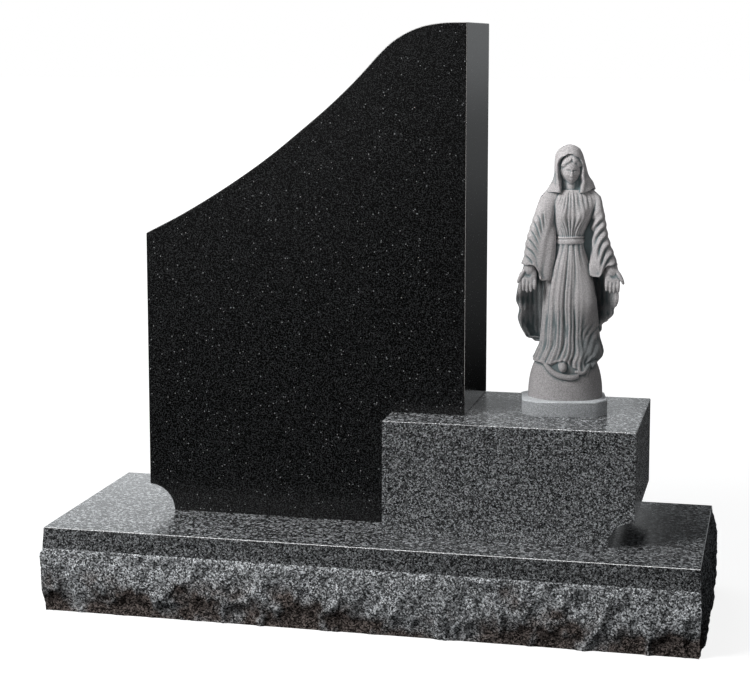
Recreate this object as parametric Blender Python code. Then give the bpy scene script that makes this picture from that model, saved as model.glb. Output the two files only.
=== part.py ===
"""Headstone: a long base, a black tablet with a swept top, a speckled block beside it and a robed figure on the block.

Metres, +Z up, front towards -Y, +X to the viewer's right, origin at the middle of the base's underside.
"""
import bpy
import numpy as np

# Real sizes in metres. The base's margin and height are the trade's usual two and eight inches.
BASE_HEIGHT = 0.203
MARGIN = 0.051
END_LEFT = 0.187
END_RIGHT = 0.153
LEDGE_FRONT = 0.118
LEDGE_BACK = 0.034
ROCK = 0.014
ROCK_END = 0.030

TABLET_WIDTH = 0.778
TABLET_LOW = 0.678
TABLET_HIGH = 1.177
TABLET_COVE = 0.062

BLOCK_WIDTH = 0.582
BLOCK_DEPTH = 0.407
BLOCK_HEIGHT = 0.268
BLOCK_COVE = 0.061
BLOCK_FORWARD = 0.100
LAP = 0.175

STATUE_HEIGHT = 0.629
PLINTH_HEIGHT = 0.0355
PLINTH_WIDTH = 0.198
PLINTH_DEPTH = 0.155
STATUE_TURN = 10.0
STATUE_ASIDE = 0.014
STATUE_BACK = 0.010

ARRIS = 0.0015
GAP = 0.0003
TAU = 2 * np.pi

# Everything on the base follows from the sizes above.
BASE_LENGTH = END_LEFT + TABLET_WIDTH - LAP + BLOCK_WIDTH + END_RIGHT
BASE_DEPTH = LEDGE_FRONT + BLOCK_DEPTH + LEDGE_BACK
TABLET_LEFT = -BASE_LENGTH / 2 + END_LEFT
TABLET_RIGHT = TABLET_LEFT + TABLET_WIDTH
BLOCK_LEFT = TABLET_RIGHT - LAP
BLOCK_RIGHT = BLOCK_LEFT + BLOCK_WIDTH
BLOCK_FRONT = -BASE_DEPTH / 2 + LEDGE_FRONT
BACK = BLOCK_FRONT + BLOCK_DEPTH
TABLET_FRONT = BLOCK_FRONT + BLOCK_FORWARD
GROUND = BASE_HEIGHT + GAP
BLOCK_TOP = GROUND + BLOCK_HEIGHT
STATUE_X = (TABLET_RIGHT + BLOCK_RIGHT) / 2 + STATUE_ASIDE
STATUE_Y = (BLOCK_FRONT + BACK) / 2 + STATUE_BACK

for old in list(bpy.data.objects):
    bpy.data.objects.remove(old)


def stone(name, color, roughness):
    made = bpy.data.materials.new(name)
    made.use_nodes = True
    shader = made.node_tree.nodes["Principled BSDF"]
    shader.inputs["Base Color"].default_value = (*color, 1)
    shader.inputs["Roughness"].default_value = roughness
    made.diffuse_color = (*color, 1)
    return made


def node(name, verts, faces, material):
    """A named object with its own mesh and material."""
    mesh = bpy.data.meshes.new(name)
    mesh.from_pydata(verts, [], faces)
    mesh.validate()
    mesh.update()
    made = bpy.data.objects.new(name, mesh)
    made.data.materials.append(material)
    bpy.context.scene.collection.objects.link(made)
    return made


def modifier(on, name, kind, **settings):
    made = on.modifiers.new(name, kind)
    for key, value in settings.items():
        setattr(made, key, value)
    return made


def slab(name, outline, front, back, material):
    """A plate cut to an outline in X and Z, with its edges eased."""
    n = len(outline)
    verts = [(x, front, z) for x, z in outline] + [(x, back, z) for x, z in outline]
    faces = [list(range(n)), list(range(2 * n - 1, n - 1, -1))]
    faces += [[(i + 1) % n, i, n + i, n + (i + 1) % n] for i in range(n)]
    made = node(name, verts, faces, material)
    modifier(made, "arris", "BEVEL", width=ARRIS, segments=2, limit_method="ANGLE", angle_limit=0.6)
    return made


def cove(corner_x, corner_z, radius, side, steps=9):
    """A quarter circle bitten out of a lower corner, listed anticlockwise. The side is -1 at the left, 1 at the right."""
    turns = np.linspace(0, np.pi / 2, steps)
    points = [(corner_x - side * radius * np.cos(t), corner_z + radius * np.sin(t)) for t in turns]
    return points if side > 0 else points[::-1]


FOOT = 5.6


def curve(at, stations):
    """Catmull-Rom curve through (position, value) stations, held flat beyond the ends."""
    knots = np.array(sorted(stations), float)
    x, y = knots[:, 0], knots[:, 1]
    slope = np.gradient(y, x)
    at = np.clip(at, x[0], x[-1])
    i = np.clip(np.searchsorted(x, at) - 1, 0, len(x) - 2)
    h = x[i + 1] - x[i]
    t = (at - x[i]) / h
    return ((1 + 2 * t) * (1 - t) ** 2 * y[i] + t * (1 - t) ** 2 * h * slope[i]
            + t * t * (3 - 2 * t) * y[i + 1] + t * t * (t - 1) * h * slope[i + 1])


def step(low, high, x):
    t = np.clip((x - low) / (high - low), 0, 1)
    return t * t * (3 - 2 * t)


def bell(x, centre, width):
    return np.exp(-((x - centre) / width) ** 2)


def pleat(phase, sharp=1.7):
    """Round ridges between narrow valleys: 0 in a valley, 1 on a ridge."""
    return 1 - np.abs(2 * (phase % 1) - 1) ** sharp


def lofted(points):
    """Vertices and faces of a closed loft: rings (n, m, 3), each end closed by a fan."""
    n, m = points.shape[:2]
    verts = np.concatenate([points.reshape(-1, 3), points[:1].mean(1), points[-1:].mean(1)])
    i, j = np.meshgrid(np.arange(n - 1), np.arange(m), indexing="ij")
    k = (j + 1) % m
    quads = np.stack([i * m + j, i * m + k, (i + 1) * m + k, (i + 1) * m + j], -1).reshape(-1, 4)
    j = np.arange(m)
    k = (j + 1) % m
    low = np.stack([np.full(m, n * m), k, j], -1)
    high = np.stack([np.full(m, n * m + 1), (n - 1) * m + j, (n - 1) * m + k], -1)
    return verts, quads, np.concatenate([low, high])


def grid(rings, around, low, high):
    """Heights and angles of a loft's grid. The angle is 0 at the front and grows towards the viewer's right."""
    z = np.linspace(low, high, rings)[:, None]
    a = (np.arange(around) / around * TAU - np.pi)[None, :]
    return z * np.ones_like(a), a * np.ones_like(z)


def oval(a, power):
    """A superellipse's radius at each angle, for half-axes of one."""
    return (np.abs(np.sin(a)) ** power + np.abs(np.cos(a)) ** power) ** (-1 / power)


def place(a, width, depth, cx, cy, z, power=2.0, out=0.0):
    """A point at angle a on an oval of that half-width and half-depth, pushed out by out along its own radius."""
    r = oval(a, power)
    x, y = width * r * np.sin(a), -depth * r * np.cos(a)
    size = np.hypot(x, y) + 1e-9
    return np.stack([cx + x * (1 + out / size), cy + y * (1 + out / size), z * np.ones_like(x)], -1)


def robe(q):
    s, a = grid(75 * q, 150 * q, 0, 1)
    x = 0.8 + 12.2 * np.sin(a)
    front = np.cos(a) > 0
    hem = np.where(front, curve(x, [(-12, 19.6), (-8, 19.3), (-4.5, 19.4), (-2.5, 20.4), (0.2, 20.4), (2, 18.7), (4, 17.5), (6.2, 16.9), (7.3, 18.4), (8.5, 21.0), (10.5, 21.6), (13, 20.6)]), 20.2)
    hem = hem + 0.5 * np.sin(6 * a + 1) * step(1.4, 1.9, np.abs(a))
    z = hem + (66.0 - hem) * s
    width = curve(z, [(17, 12.0), (20, 12.2), (22, 12.5), (26, 11.4), (34, 10.5), (47, 9.2), (55, 7.4), (61, 5.5), (66, 4.7)])
    depth = curve(z, [(17, 9.6), (20, 9.3), (26, 7.9), (32, 7.0), (42, 6.7), (50, 6.2), (57, 5.5), (62, 4.6), (66, 4.3)])
    cx = curve(z, [(17, 0.8), (20, 0.9), (22, 1.8), (30, 2.0), (47, 1.5), (66, 1.5)])
    lower = step(66, 22, z)
    lean = a + 0.16 * lower * np.cos(a)
    leg = bell(a, 0.74, 0.55) * step(60, 50, z) * step(17, 24, z)
    wander = (0.45 * np.sin(0.17 * z + 3.1 * a) + 0.35 * np.sin(0.33 * z - 2.3 * a)) * (0.6 + 1.2 * step(40, 24, z))
    amount = (0.40 + 0.75 * lower) * (1 - 0.96 * leg) * (1 - 0.25 * step(1.4, 2.2, np.abs(a)))
    amount = amount * (0.72 + 0.60 * bell(a, 0.0, 0.50))
    fine = pleat(lean / TAU * 46 + 0.16 * wander, 1.4)
    deep = pleat(lean / TAU * 17 + 0.20 * wander + 0.35, 2.4)
    out = amount * (0.42 * fine + 0.85 * deep - 0.85)
    out += 2.3 * bell(a, 0.70, 0.42) * bell(z, 43, np.where(z > 43, 10, 6.8)) + 0.7 * bell(a, -0.5, 0.35) * bell(z, 47, 12)
    out -= 1.2 * bell(a, 0.80, 0.5) * bell(z, 29.5, 5.5)
    # Slack cloth swings across below the knee, in long hanging curves.
    swing = (z + 9 * (a - 1.45) ** 2) / 4.0
    out += 0.45 * (pleat(swing, 1.6) - 0.5) * bell(a, 0.95, 0.5) * step(36, 31, z) * step(19, 23, z)
    out += 0.35 * bell(s, 0.0, 0.02)
    pts = place(a, width, depth, cx, 0.0, z, 2.2, out)
    # Under the hem the cloth turns in and down on to the globe.
    under = pts[0] * [0.74, 0.74, 0] + [0.4, 0, 17.0]
    return lofted(np.concatenate([(under * [0.8, 0.8, 0] + [0, 0, 14.0])[None], under[None], pts]))


def bodice(q):
    z, a = grid(35 * q, 110 * q, 61, 83.2)
    width = curve(z, [(61, 4.7), (64, 4.6), (66, 4.9), (70, 5.9), (75, 6.5), (79, 6.8), (81.6, 5.2), (83.2, 3.0)])
    depth = curve(z, [(61, 4.3), (64, 4.2), (66, 4.4), (70, 5.0), (75, 5.3), (79, 4.7), (81.6, 3.7), (83.2, 2.5)])
    out = 1.0 * (bell(a, 0.46, 0.30) + bell(a, -0.46, 0.30)) * bell(z, 73.8, 3.4)
    front = bell(a, 0, 1.0)
    # Gathers spread from the neckline over the breast and meet again at the belt.
    phase = a / TAU * 40 * (1 - 0.22 * bell(z, 74, 4.5)) + 0.25 * np.sin(0.5 * z) * np.sin(3 * a)
    depth_of = 0.62 - 0.30 * bell(z, 75, 3)
    out += depth_of * (pleat(phase, 1.5) - 0.6) * front * step(83, 81.6, z)
    out += 0.28 * (pleat(a / TAU * 15 + 0.4, 2.0) - 0.5) * front
    pts = place(a, width, depth, 1.5, 0.0, z, 2.2, out)
    shoulder = curve(z, [(61, 0), (69, 0.3), (72, 1.2), (75.5, 2.6), (79, 4.4), (81.6, 4.8), (83.2, 2.0)])
    right = np.clip((pts[..., 0] - 1.5) / (width + 1e-9), 0, 1.2)
    pts[..., 0] += shoulder * right ** 1.5
    return lofted(pts)


def belt(q):
    rise, a = grid(12 * q, 80 * q, 0, 1)
    z = 63.1 + 3.1 * rise + 0.15 * np.sin(a)
    bulge = 0.50 * (1 - np.abs(2 * rise - 1) ** 6) - 0.40 * bell(rise, 0.66, 0.10)
    return lofted(place(a, 4.75, 4.4, 1.5, 0.0, z, 2.2, 0.1 + bulge))


def sleeve(q, side):
    """The mantle over one arm: from the shoulder to a hem that hangs open over the hand."""
    s, a = grid(70 * q, 120 * q, 0, 1)
    if side < 0:
        x_in = [(49, 6.3), (51.5, 4.4), (55, 3.9), (63, 3.5), (72, 4.0), (78, 3.4), (83, 1.2)]
        x_out = [(49, 16.9), (55, 16.5), (59, 15.5), (62.4, 15.1), (66, 14.3), (69.7, 13.2), (73.4, 12.0), (77, 10.8), (80.8, 9.2), (83, 7.2)]
        tip, period = 49.7, 3.1
    else:
        x_in = [(49, 10.6), (52.6, 8.4), (57.5, 9.0), (62.4, 9.7), (66, 9.9), (70, 9.6), (76, 9.9), (80, 9.6), (83, 7.4)]
        x_out = [(49, 20.0), (55, 19.1), (59, 18.0), (62.4, 16.7), (66, 15.6), (69.7, 14.9), (73.4, 14.3), (77, 13.5), (80.8, 12.4), (83, 10.2)]
        tip, period = 51.2, 3.3
    across = side * np.sin(a)
    hem = tip + (55.6 - tip) * step(-0.42, 0.34, across) + 2.6 * step(-0.74, -1.0, across)
    z = hem + (83.0 - hem) * s
    x_in, x_out = curve(z, x_in), curve(z, x_out)
    cx, half = (x_in + x_out) / 2, (x_out - x_in) / 2
    depth = curve(z, [(49, 3.2), (56, 3.9), (62, 4.3), (69, 4.3), (75, 4.1), (80, 3.4), (83, 2.0)])
    cy = curve(z, [(49, -2.6), (56, -1.9), (62, -1.2), (69, -0.4), (75, 0.0), (83, 0.6)])
    inward = half * (1 - across)
    behind = step(0.1, -0.5, np.cos(a))
    # Each fold leaves the outer edge and turns down towards the body.
    bow = 0.14 + (0.13 * step(60, 71, z) if side < 0 else 0.0)
    ridge = ((z + 0.20 * inward + bow * inward ** 2) / period) % 1
    ridge = np.where(ridge < 0.36, ridge / 0.36, (1 - ridge) / 0.64)
    ridge = ridge * ridge * (3 - 2 * ridge)
    reach = (5.4, 3.0) if side < 0 else (7.6, 4.6)
    grow = step(77, 71, z) * step(*reach, inward) * (1 - 0.5 * behind) * (0.30 + 0.70 * step(0.0, 1.7, inward))
    out = 1.0 * (ridge - 0.5) * grow
    # Long soft falls run down the inner panel.
    out += 0.17 * np.sin(inward * 1.7 + 0.06 * z) * step(4.5, 7.5, inward) * step(82, 72, z) * (np.cos(a) > 0)
    out += 0.35 * step(0.05, 0.0, s)
    pts = place(a, half, depth, side * cx, cy, z, 2.6, out)
    # Inside the hem the cloth turns up again, so the sleeve is open below.
    middle = np.stack([side * cx[0], cy[0], z[0]], -1)
    recess = 0.8 if q < 2 else 2.4
    inside = [pts[0] + (middle - pts[0]) * [1, 1, 0] * (0.42 * min(1, 3 * u)) + [0, 0, recess * u] for u in np.linspace(0.12, 1, 9)]
    return lofted(np.concatenate([np.stack(inside[::-1]), pts]))


def cloak(q):
    """The mantle's long back, hollow behind the hands."""
    s, a = grid(70 * q, 150 * q, 0, 1)
    side = np.sin(a)
    back = np.cos(a) < 0
    hem = np.where(side < 0, 25.0, 26.5) + 3.2 * step(0.72, 1.0, np.abs(side)) + 0.7 * step(0.3, -0.8, np.cos(a))
    hem = hem + 0.4 * np.sin(8 * side)
    z = hem + (82.0 - hem) * s
    x_left = curve(z, [(24, 9.4), (25.6, 11.4), (27.2, 13.4), (29.4, 14.9), (32, 16.3), (35, 17.2), (38.6, 16.8), (41, 17.9), (45, 17.7), (50, 16.6), (58, 14.6), (66, 12.8), (75, 10.2), (82, 7.0)])
    x_right = curve(z, [(24, 10.0), (28, 12.6), (31, 13.6), (33, 13.9), (34.6, 16.2), (36.2, 17.8), (38.5, 18.2), (40.5, 19.4), (46, 19.6), (50, 18.6), (58, 16.4), (66, 14.2), (75, 12.2), (82, 10.0)])
    cx, half = (x_right - x_left) / 2, (x_right + x_left) / 2
    rear = curve(z, [(23, 7.6), (30, 7.8), (40, 7.4), (55, 6.6), (68, 6.0), (76, 5.4), (82, 4.2)])
    phase = a / TAU * 28 + 0.25 * np.sin(0.13 * z + 3 * a)
    fold = (0.15 + 0.75 * step(76, 30, z)) * (pleat(phase, 1.6) - 0.55)
    pts = place(a, half, rear, cx, 0.6, z, 2.4, fold)
    # The front is scooped out, so the hands stand before a dark hollow with its edge curled forward.
    u = np.clip(np.abs(pts[..., 0] - cx) / half, 0, 1)
    lip = 0.9 + 0.7 * np.sin(0.75 * z + 1.2 * np.sign(side))
    low = step(36, 27, z)
    scoop = 4.6 * step(1.0, 0.62 + 0.30 * low, u) * step(57, 49, z) + 0.22 * np.sin(3.4 * pts[..., 0] + 0.1 * z) * step(57, 49, z)
    front = 0.6 - lip * step(0.72, 0.95, u) * (1 - 0.9 * low) + scoop - 0.8
    front = np.minimum(front, 0.6 + (rear - 1.4 - 1.4 * low) * (1 - np.clip(1.12 * u, 0, 1) ** 2.4) ** (1 / 2.4))
    pts[..., 1] = np.where(back, pts[..., 1], front)
    return lofted(pts)


def veil(q):
    """The hood: its front edge is a line of the grid, and between the two edges the surface turns in behind the face."""
    rows, opening, rest = 75 * q, 30 * q, 140 * q
    s = np.linspace(0, 1, rows)[:, None]
    low = 83.0
    z = low + (100.0 - low) * (1 - (1 - s) ** 1.7)
    left = curve(z, [(80, 0.40), (84, 0.50), (88, 0.84), (91, 0.90), (93.5, 0.84), (95.3, 0.58), (96.2, 0.25), (96.6, 0.12)])
    right = curve(z, [(80, 0.15), (84, 0.32), (88, 0.56), (91, 0.74), (93.5, 0.76), (95.3, 0.58), (96.2, 0.25), (96.6, 0.12)])
    inner, outer = np.linspace(0, 1, opening)[None, :], np.linspace(0, 1, rest + 2)[None, 1:-1]
    a = np.concatenate([-left + (left + right) * inner, right + (TAU - left - right) * outer], 1)
    a = np.where(a > np.pi, a - TAU, a)
    within = np.concatenate([np.ones_like(inner), np.zeros_like(outer)], 1) * step(96.7, 96.3, z)
    hem = np.where(a > 0, 83.9, 82.4) - 1.6 * step(1.3, 2.8, np.abs(a)) - 1.6 * step(1.2, 0.35, a) * (a > 0)
    hem = hem + 0.4 * np.sin(9 * a + 0.5) * step(1.2, 1.8, np.abs(a))
    z = z + (hem - low) * step(90, 83, z)
    x_left = curve(z, [(80, 8.2), (82.6, 7.5), (84.4, 6.4), (86.3, 5.3), (88, 4.75), (91.8, 4.6), (94, 4.5), (97.3, 3.7), (98.7, 2.3), (99.6, 0.4), (100, -0.9)])
    x_right = curve(z, [(80, 12.3), (82.6, 11.3), (84.4, 10.4), (86.3, 9.6), (88, 8.4), (91.8, 7.2), (94, 6.6), (97.3, 5.4), (98.7, 4.4), (99.6, 2.6), (100, 1.3)])
    cx, half = (x_right - x_left) / 2, (x_right + x_left) / 2
    depth = curve(z, [(80, 6.0), (83, 5.4), (85, 5.3), (87, 5.5), (90, 5.9), (94, 6.1), (97, 5.3), (98.7, 3.7), (99.6, 2.0), (100, 0.4)])
    out = 0.26 * step(94, 85, z) * (pleat(a / TAU * 24 + 0.2 * np.sin(0.5 * z), 1.6) - 0.5) * step(0.9, 1.3, np.abs(a))
    edge = np.where(a < 0, left, right)
    out = out + 0.34 * bell(np.abs(a) - edge, 0.10, 0.09) * step(98, 96, z)
    # Inside the opening the surface sits behind the face, tucked under both edges.
    tuck = a + 0.42 * np.where(within > 0.5, 2 * np.concatenate([inner, 0 * outer], 1) - 1, 0) * step(97, 94, z)
    hood = place(a, half, depth, cx, 0.7, z, 2.15, out)
    back = place(tuck, 0.50 * half, 0.42 * depth, 0.6 * cx + 0.6, 0.9, z)
    return lofted(hood * (1 - within[..., None]) + back * within[..., None])


def head(q):
    """Skull, face and hair as one loft about the head's own axis, bowed forward."""
    s, a = grid(90 * q, 120 * q, -1, 1)
    wide, long, deep = 3.5, 5.9, 4.3
    lat = s * np.pi / 2 * 0.995
    x = wide * np.cos(lat) * np.sin(a)
    y = -deep * np.cos(lat) * np.cos(a)
    z = long * np.sin(lat)
    u, v = x / wide, z / long          # across and up the face, -1 to 1
    n = np.stack([x / wide ** 2, y / deep ** 2, z / long ** 2], -1)
    n /= np.linalg.norm(n, axis=-1, keepdims=True)
    # The jaw narrows to the chin.
    jaw = step(-0.05, -0.95, v)
    x = x * (1 - 0.20 * jaw)
    y = y * (1 - 0.08 * jaw * (y < 0)) + 0.2 * jaw
    w = np.abs(u)
    f = 0.50 * bell(u, 0, 0.28) * bell(v, -0.74, 0.15)                        # chin
    f += 0.22 * bell(w, 0.52, 0.24) * bell(v, -0.20, 0.24)                    # cheeks
    f -= 0.66 * bell(w, 0.40, 0.20) * bell(v, 0.05, 0.11)                     # eye sockets
    f -= 0.22 * bell(w, 0.17, 0.07) * bell(v, 0.08, 0.09)                     # inner corners
    f += 0.50 * bell(w, 0.40, 0.145) * bell(v, 0.015, 0.060)                  # lowered lids
    f -= 0.20 * bell(w, 0.40, 0.16) * bell(v, -0.055, 0.020)                  # lash line
    f -= 0.14 * bell(w, 0.40, 0.16) * bell(v, 0.088, 0.020)                   # fold over the lid
    f += 0.18 * bell(w, 0.38, 0.24) * bell(v, 0.165 - 0.05 * (w - 0.38), 0.05)  # brows
    nose = step(0.24, -0.22, v) * step(-0.335, -0.265, v)
    f += (0.22 + 0.80 * step(0.16, -0.24, v)) * bell(u, 0, 0.105 + 0.05 * step(0.0, -0.27, v)) * nose
    f += 0.28 * bell(w, 0.145, 0.060) * bell(v, -0.255, 0.042)                # nostril wings
    f += 0.30 * bell(u, 0, 0.36) * bell(v, -0.48, 0.13)                       # the mouth's own fullness
    f += 0.34 * bell(u, 0, 0.24) * bell(v, -0.425, 0.034)                     # upper lip
    f += 0.42 * bell(u, 0, 0.19) * bell(v, -0.505, 0.040)                     # lower lip
    f -= 0.42 * bell(u, 0, 0.25) * bell(v, -0.462, 0.018)                     # between the lips
    f -= 0.20 * bell(u, 0, 0.20) * bell(v, -0.60, 0.045)                      # under the lip
    # Hair: parted over the brow and swept down beside the temples in waves.
    line = 0.70 - 0.60 * w ** 1.25 + 0.03 * np.cos(14 * w)
    beside = step(0.36, 0.22, np.cos(a))
    over = step(line - 0.035, line + 0.035, v)
    hair = np.maximum(over, beside)
    roll = bell(v - line, 0.17, 0.16) * (1 - beside)
    strand = pleat((v - line) * 4.6 + 0.12 * np.sin(7 * w), 1.5)
    lock = pleat(np.abs(a) * 4.2 + 0.10 * np.sin(9 * v), 1.5)
    strand = strand * (1 - beside) + lock * beside
    part = bell(a, 0, 0.055) * step(0.45, 0.62, v)
    tress = (0.42 + 0.30 * roll + 0.20 * (strand - 0.5)) * (1 - 0.75 * part)
    forward = n * [0.3, 1.0, 0.3]
    forward /= np.linalg.norm(forward, axis=-1, keepdims=True) + 1e-9
    look = step(0.1, 0.45, np.cos(a)) * (1 - hair)
    pts = np.stack([x, y, z], -1) + n * (hair * tress)[..., None] + forward * (f * look)[..., None]
    t = np.radians(13)
    y2 = pts[..., 1] * np.cos(t) - pts[..., 2] * np.sin(t)
    z2 = pts[..., 1] * np.sin(t) + pts[..., 2] * np.cos(t)
    return lofted(np.stack([pts[..., 0] + 1.6, y2 - 0.9, z2 + 90.9], -1))


def tube(q, path, radii, around=20, flat=1.0):
    """A round-ended rod through the path's points, with a radius at each."""
    path, radii = np.array(path, float), np.array(radii, float)
    t = np.arange(len(path), dtype=float)
    s = np.linspace(0, len(path) - 1, 7 * len(path) * q)
    line = np.stack([curve(s, list(zip(t, path[:, k]))) for k in range(3)], -1)
    r = curve(s, list(zip(t, radii)))
    tangent = np.gradient(line, axis=0)
    tangent /= np.linalg.norm(tangent, axis=1, keepdims=True)
    ang = np.linspace(0.08, np.pi / 2, 7)
    start = line[0] - tangent[0] * (r[0] * np.cos(ang))[:, None]
    end = line[-1] + tangent[-1] * (r[-1] * np.cos(ang[::-1]))[:, None]
    line = np.concatenate([start, line[1:-1], end])
    r = np.concatenate([r[0] * np.sin(ang), r[1:-1], r[-1] * np.sin(ang[::-1])])
    tangent = np.concatenate([np.repeat(tangent[:1], 7, 0), tangent[1:-1], np.repeat(tangent[-1:], 7, 0)])
    side = np.cross(tangent, [0.0, -1.0, 0.0])
    side /= np.linalg.norm(side, axis=1, keepdims=True) + 1e-9
    front = np.cross(side, tangent)
    a = (np.arange(around) / around * TAU)[None, :, None]
    return lofted(line[:, None] + r[:, None, None] * (side[:, None] * np.cos(a) + front[:, None] * np.sin(a) * flat))


def hand(q, side):
    """An open hand, palm forward, fingers down, thumb outwards."""
    px, pz = (-13.7, 51.9) if side < 0 else (17.0, 51.6)
    palm = np.array([px, -4.4, pz])
    parts = [tube(q, [palm + [-0.9 * side, 1.6, 6.0], palm + [-0.3 * side, 1.0, 4.0], palm + [0, 0.5, 1.6]], [2.3, 2.1, 2.3], 28, 0.62)]
    # The palm is a rounded slab with a hollow in the middle.
    s, a = grid(22 * q, 26 * q, -1, 1)
    lat = s * np.pi / 2 * 0.99
    c = np.cos(lat) ** 0.5
    x = (2.85 - 0.15 * np.sin(lat)) * c * np.sin(a)
    y = -1.15 * c * np.cos(a)
    z = 3.2 * np.sin(lat)
    y = np.where(y < 0, y * (1 - 0.50 * bell(x, 0.3 * side, 1.2) * bell(z, -0.2, 1.3)), y)
    t = np.radians(22)
    parts.append(lofted(np.stack([x, y * np.cos(t) + z * np.sin(t), z * np.cos(t) - y * np.sin(t)], -1) + palm))
    # From the little finger, nearest the body, to the first finger.
    for off, length in [(-2.05, 3.0), (-0.70, 3.7), (0.66, 3.9), (2.00, 3.4)]:
        base = palm + [side * off, -0.95, -2.0]
        mid = base + [side * off * 0.03, -0.85, -length * 0.5]
        end = base + [side * off * 0.04, -0.80, -length]
        parts.append(tube(q, [base + [0, 0.6, 1.1], base, mid, end], [0.68, 0.76, 0.70, 0.55], 14))
    # The thumb leaves the heel of the hand, with a web between it and the palm.
    root = palm + [side * 1.6, 0.1, 1.6]
    parts.append(tube(q, [root, root + [side * 1.1, -0.7, -1.6], root + [side * 1.9, -1.1, -3.0], root + [side * 2.4, -1.2, -4.2]], [0.85, 0.85, 0.68, 0.50], 16))
    parts.append(tube(q, [palm + [side * 1.2, -0.2, -0.4], palm + [side * 2.3, -0.6, -0.9]], [0.75, 0.60], 14))
    return parts


def globe(q):
    s, a = grid(40 * q, 70 * q, -0.14, 1)
    h = np.maximum(s, 0)
    c = (1 - h ** 2.3 * 0.9995) ** (1 / 2.3)
    return lofted(np.stack([0.5 + 13.9 * c * np.sin(a), 0.1 - 10.9 * c * np.cos(a), 5.6 + 21.0 * s], -1))


def on_globe(x, z, lift=0.0):
    """The point of the globe's front at x and height z, lifted off it a little."""
    h = (z - 5.6) / 21.0
    r = (1 - h ** 2.3) ** (1 / 2.3)
    w = (x - 0.5) / 13.9
    d = np.sqrt(max(r * r - w * w, 0.02))
    return [x, 0.1 - 10.9 * d - lift, z]


def snake(q):
    way = [(-7.6, 19.2), (-6.3, 17.6), (-4.6, 16.1), (-2.4, 15.0), (0.0, 14.5), (2.4, 14.4), (4.3, 14.7)]
    first = tube(q, [on_globe(x, z, 0.3) for x, z in way], [0.8, 0.95, 1.05, 1.1, 1.05, 1.1, 0.8], 18)
    way = [(4.0, 16.4), (6.2, 16.0), (7.8, 17.4), (9.2, 19.4), (11.0, 19.8)]
    second = tube(q, [on_globe(x, z, 0.3) for x, z in way], [0.6, 0.9, 1.0, 1.0, 0.9], 18)
    way = [(8.6, 17.8), (8.2, 16.0), (7.9, 14.6)]
    third = tube(q, [on_globe(x, z, 0.2) for x, z in way], [0.7, 0.55, 0.3], 14)
    return [first, second, third]


def foot(q, x, z, turn):
    p = on_globe(x, z, 0)
    back = [x - turn * 0.4, p[1] + 4.5, z + 1.6]
    return tube(q, [back, [x - turn * 0.1, p[1] + 1.2, z + 0.9], [x, p[1] - 0.9, z + 0.1]], [1.9, 1.8, 1.45], 24)


def forms(q=2):
    found = [robe(q), bodice(q), belt(q), sleeve(q, 1), sleeve(q, -1), cloak(q), veil(q), head(q), globe(q),
             foot(q, -1.0, 17.6, 1), foot(q, 10.2, 18.6, -1)]
    found.append(tube(q, [(1.5, 0.6, 79), (1.5, 0.2, 84), (1.6, -0.2, 88)], [2.9, 2.2, 2.2], 40))
    for side in (1, -1):
        found += hand(q, side)
    found += snake(q)
    return found

# Base: polished on top, a polished margin along the front and back, split rock below it and on both ends.
def perimeter(length, depth, spacing):
    """Points around a rectangle from its front left corner, with the outward step of the front or back and of the ends."""
    nx, ny = max(4, round(length / spacing)), max(4, round(depth / spacing))
    along_x, along_y = np.linspace(0, 1, nx + 1)[:-1], np.linspace(0, 1, ny + 1)[:-1]
    x = np.concatenate([along_x - 0.5, 0 * along_y + 0.5, 0.5 - along_x, 0 * along_y - 0.5]) * length
    y = np.concatenate([0 * along_x - 0.5, along_y - 0.5, 0 * along_x + 0.5, 0.5 - along_y]) * depth
    around = np.concatenate([along_x * length, length + along_y * depth, length + depth + along_x * length,
                             2 * length + depth + along_y * depth])
    return x, y, around


def chips(around, z, total, size, seed):
    """Scallops split from the face: 0 in the middle of each hollow, rising to 1 on the ridge between neighbours."""
    dice = np.random.default_rng(seed)
    columns, rows = max(4, round(total / size)), max(2, round(0.25 / size) + 1)
    seeds = dice.random((columns * rows, 2))
    seed_around = (np.repeat(np.arange(columns), rows) + seeds[:, 0]) / columns * total
    seed_z = (np.tile(np.arange(rows), columns) + seeds[:, 1] - 0.5) * 0.25 / (rows - 1)
    gap = np.abs(around[..., None] - seed_around)
    gap = np.minimum(gap, total - gap)
    near = np.sqrt(gap ** 2 + (0.75 * (z[..., None] - seed_z)) ** 2).min(-1)
    return np.clip(near / size, 0, 1) ** 1.4


def rock_shape(x, y, around, z, total):
    """How far the split face stands out of its plane at the front or back, and at the ends."""
    drop = (BASE_HEIGHT - MARGIN - z) / (BASE_HEIGHT - MARGIN)
    down = 1 - z / BASE_HEIGHT
    chipped = 0.62 * chips(around, z, total, 0.075, 7) + 0.38 * chips(around, z, total, 0.034, 11)
    belly = 0.55 + 0.45 * np.sin(np.pi * np.clip(1.25 * drop, 0, 1)) - 0.75 * step(0.62, 1.0, drop)
    front = ROCK * np.clip(belly + 1.5 * (chipped - 0.5), -0.9, 1.0) * step(0.0, 0.07, drop)
    belly = np.sin(np.pi * np.clip(0.10 + 0.78 * down, 0, 1)) ** 0.8
    end = ROCK_END * np.clip(0.85 * belly + 1.0 * (chipped - 0.5), 0.0, 1.0) * step(0.0, 0.12, down)
    corner = np.minimum(np.abs(y - BASE_DEPTH / 2), np.abs(y + BASE_DEPTH / 2)) / BASE_DEPTH
    end = end * (0.25 + 0.75 * step(0.0, 0.12, corner))
    return front, end


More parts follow.
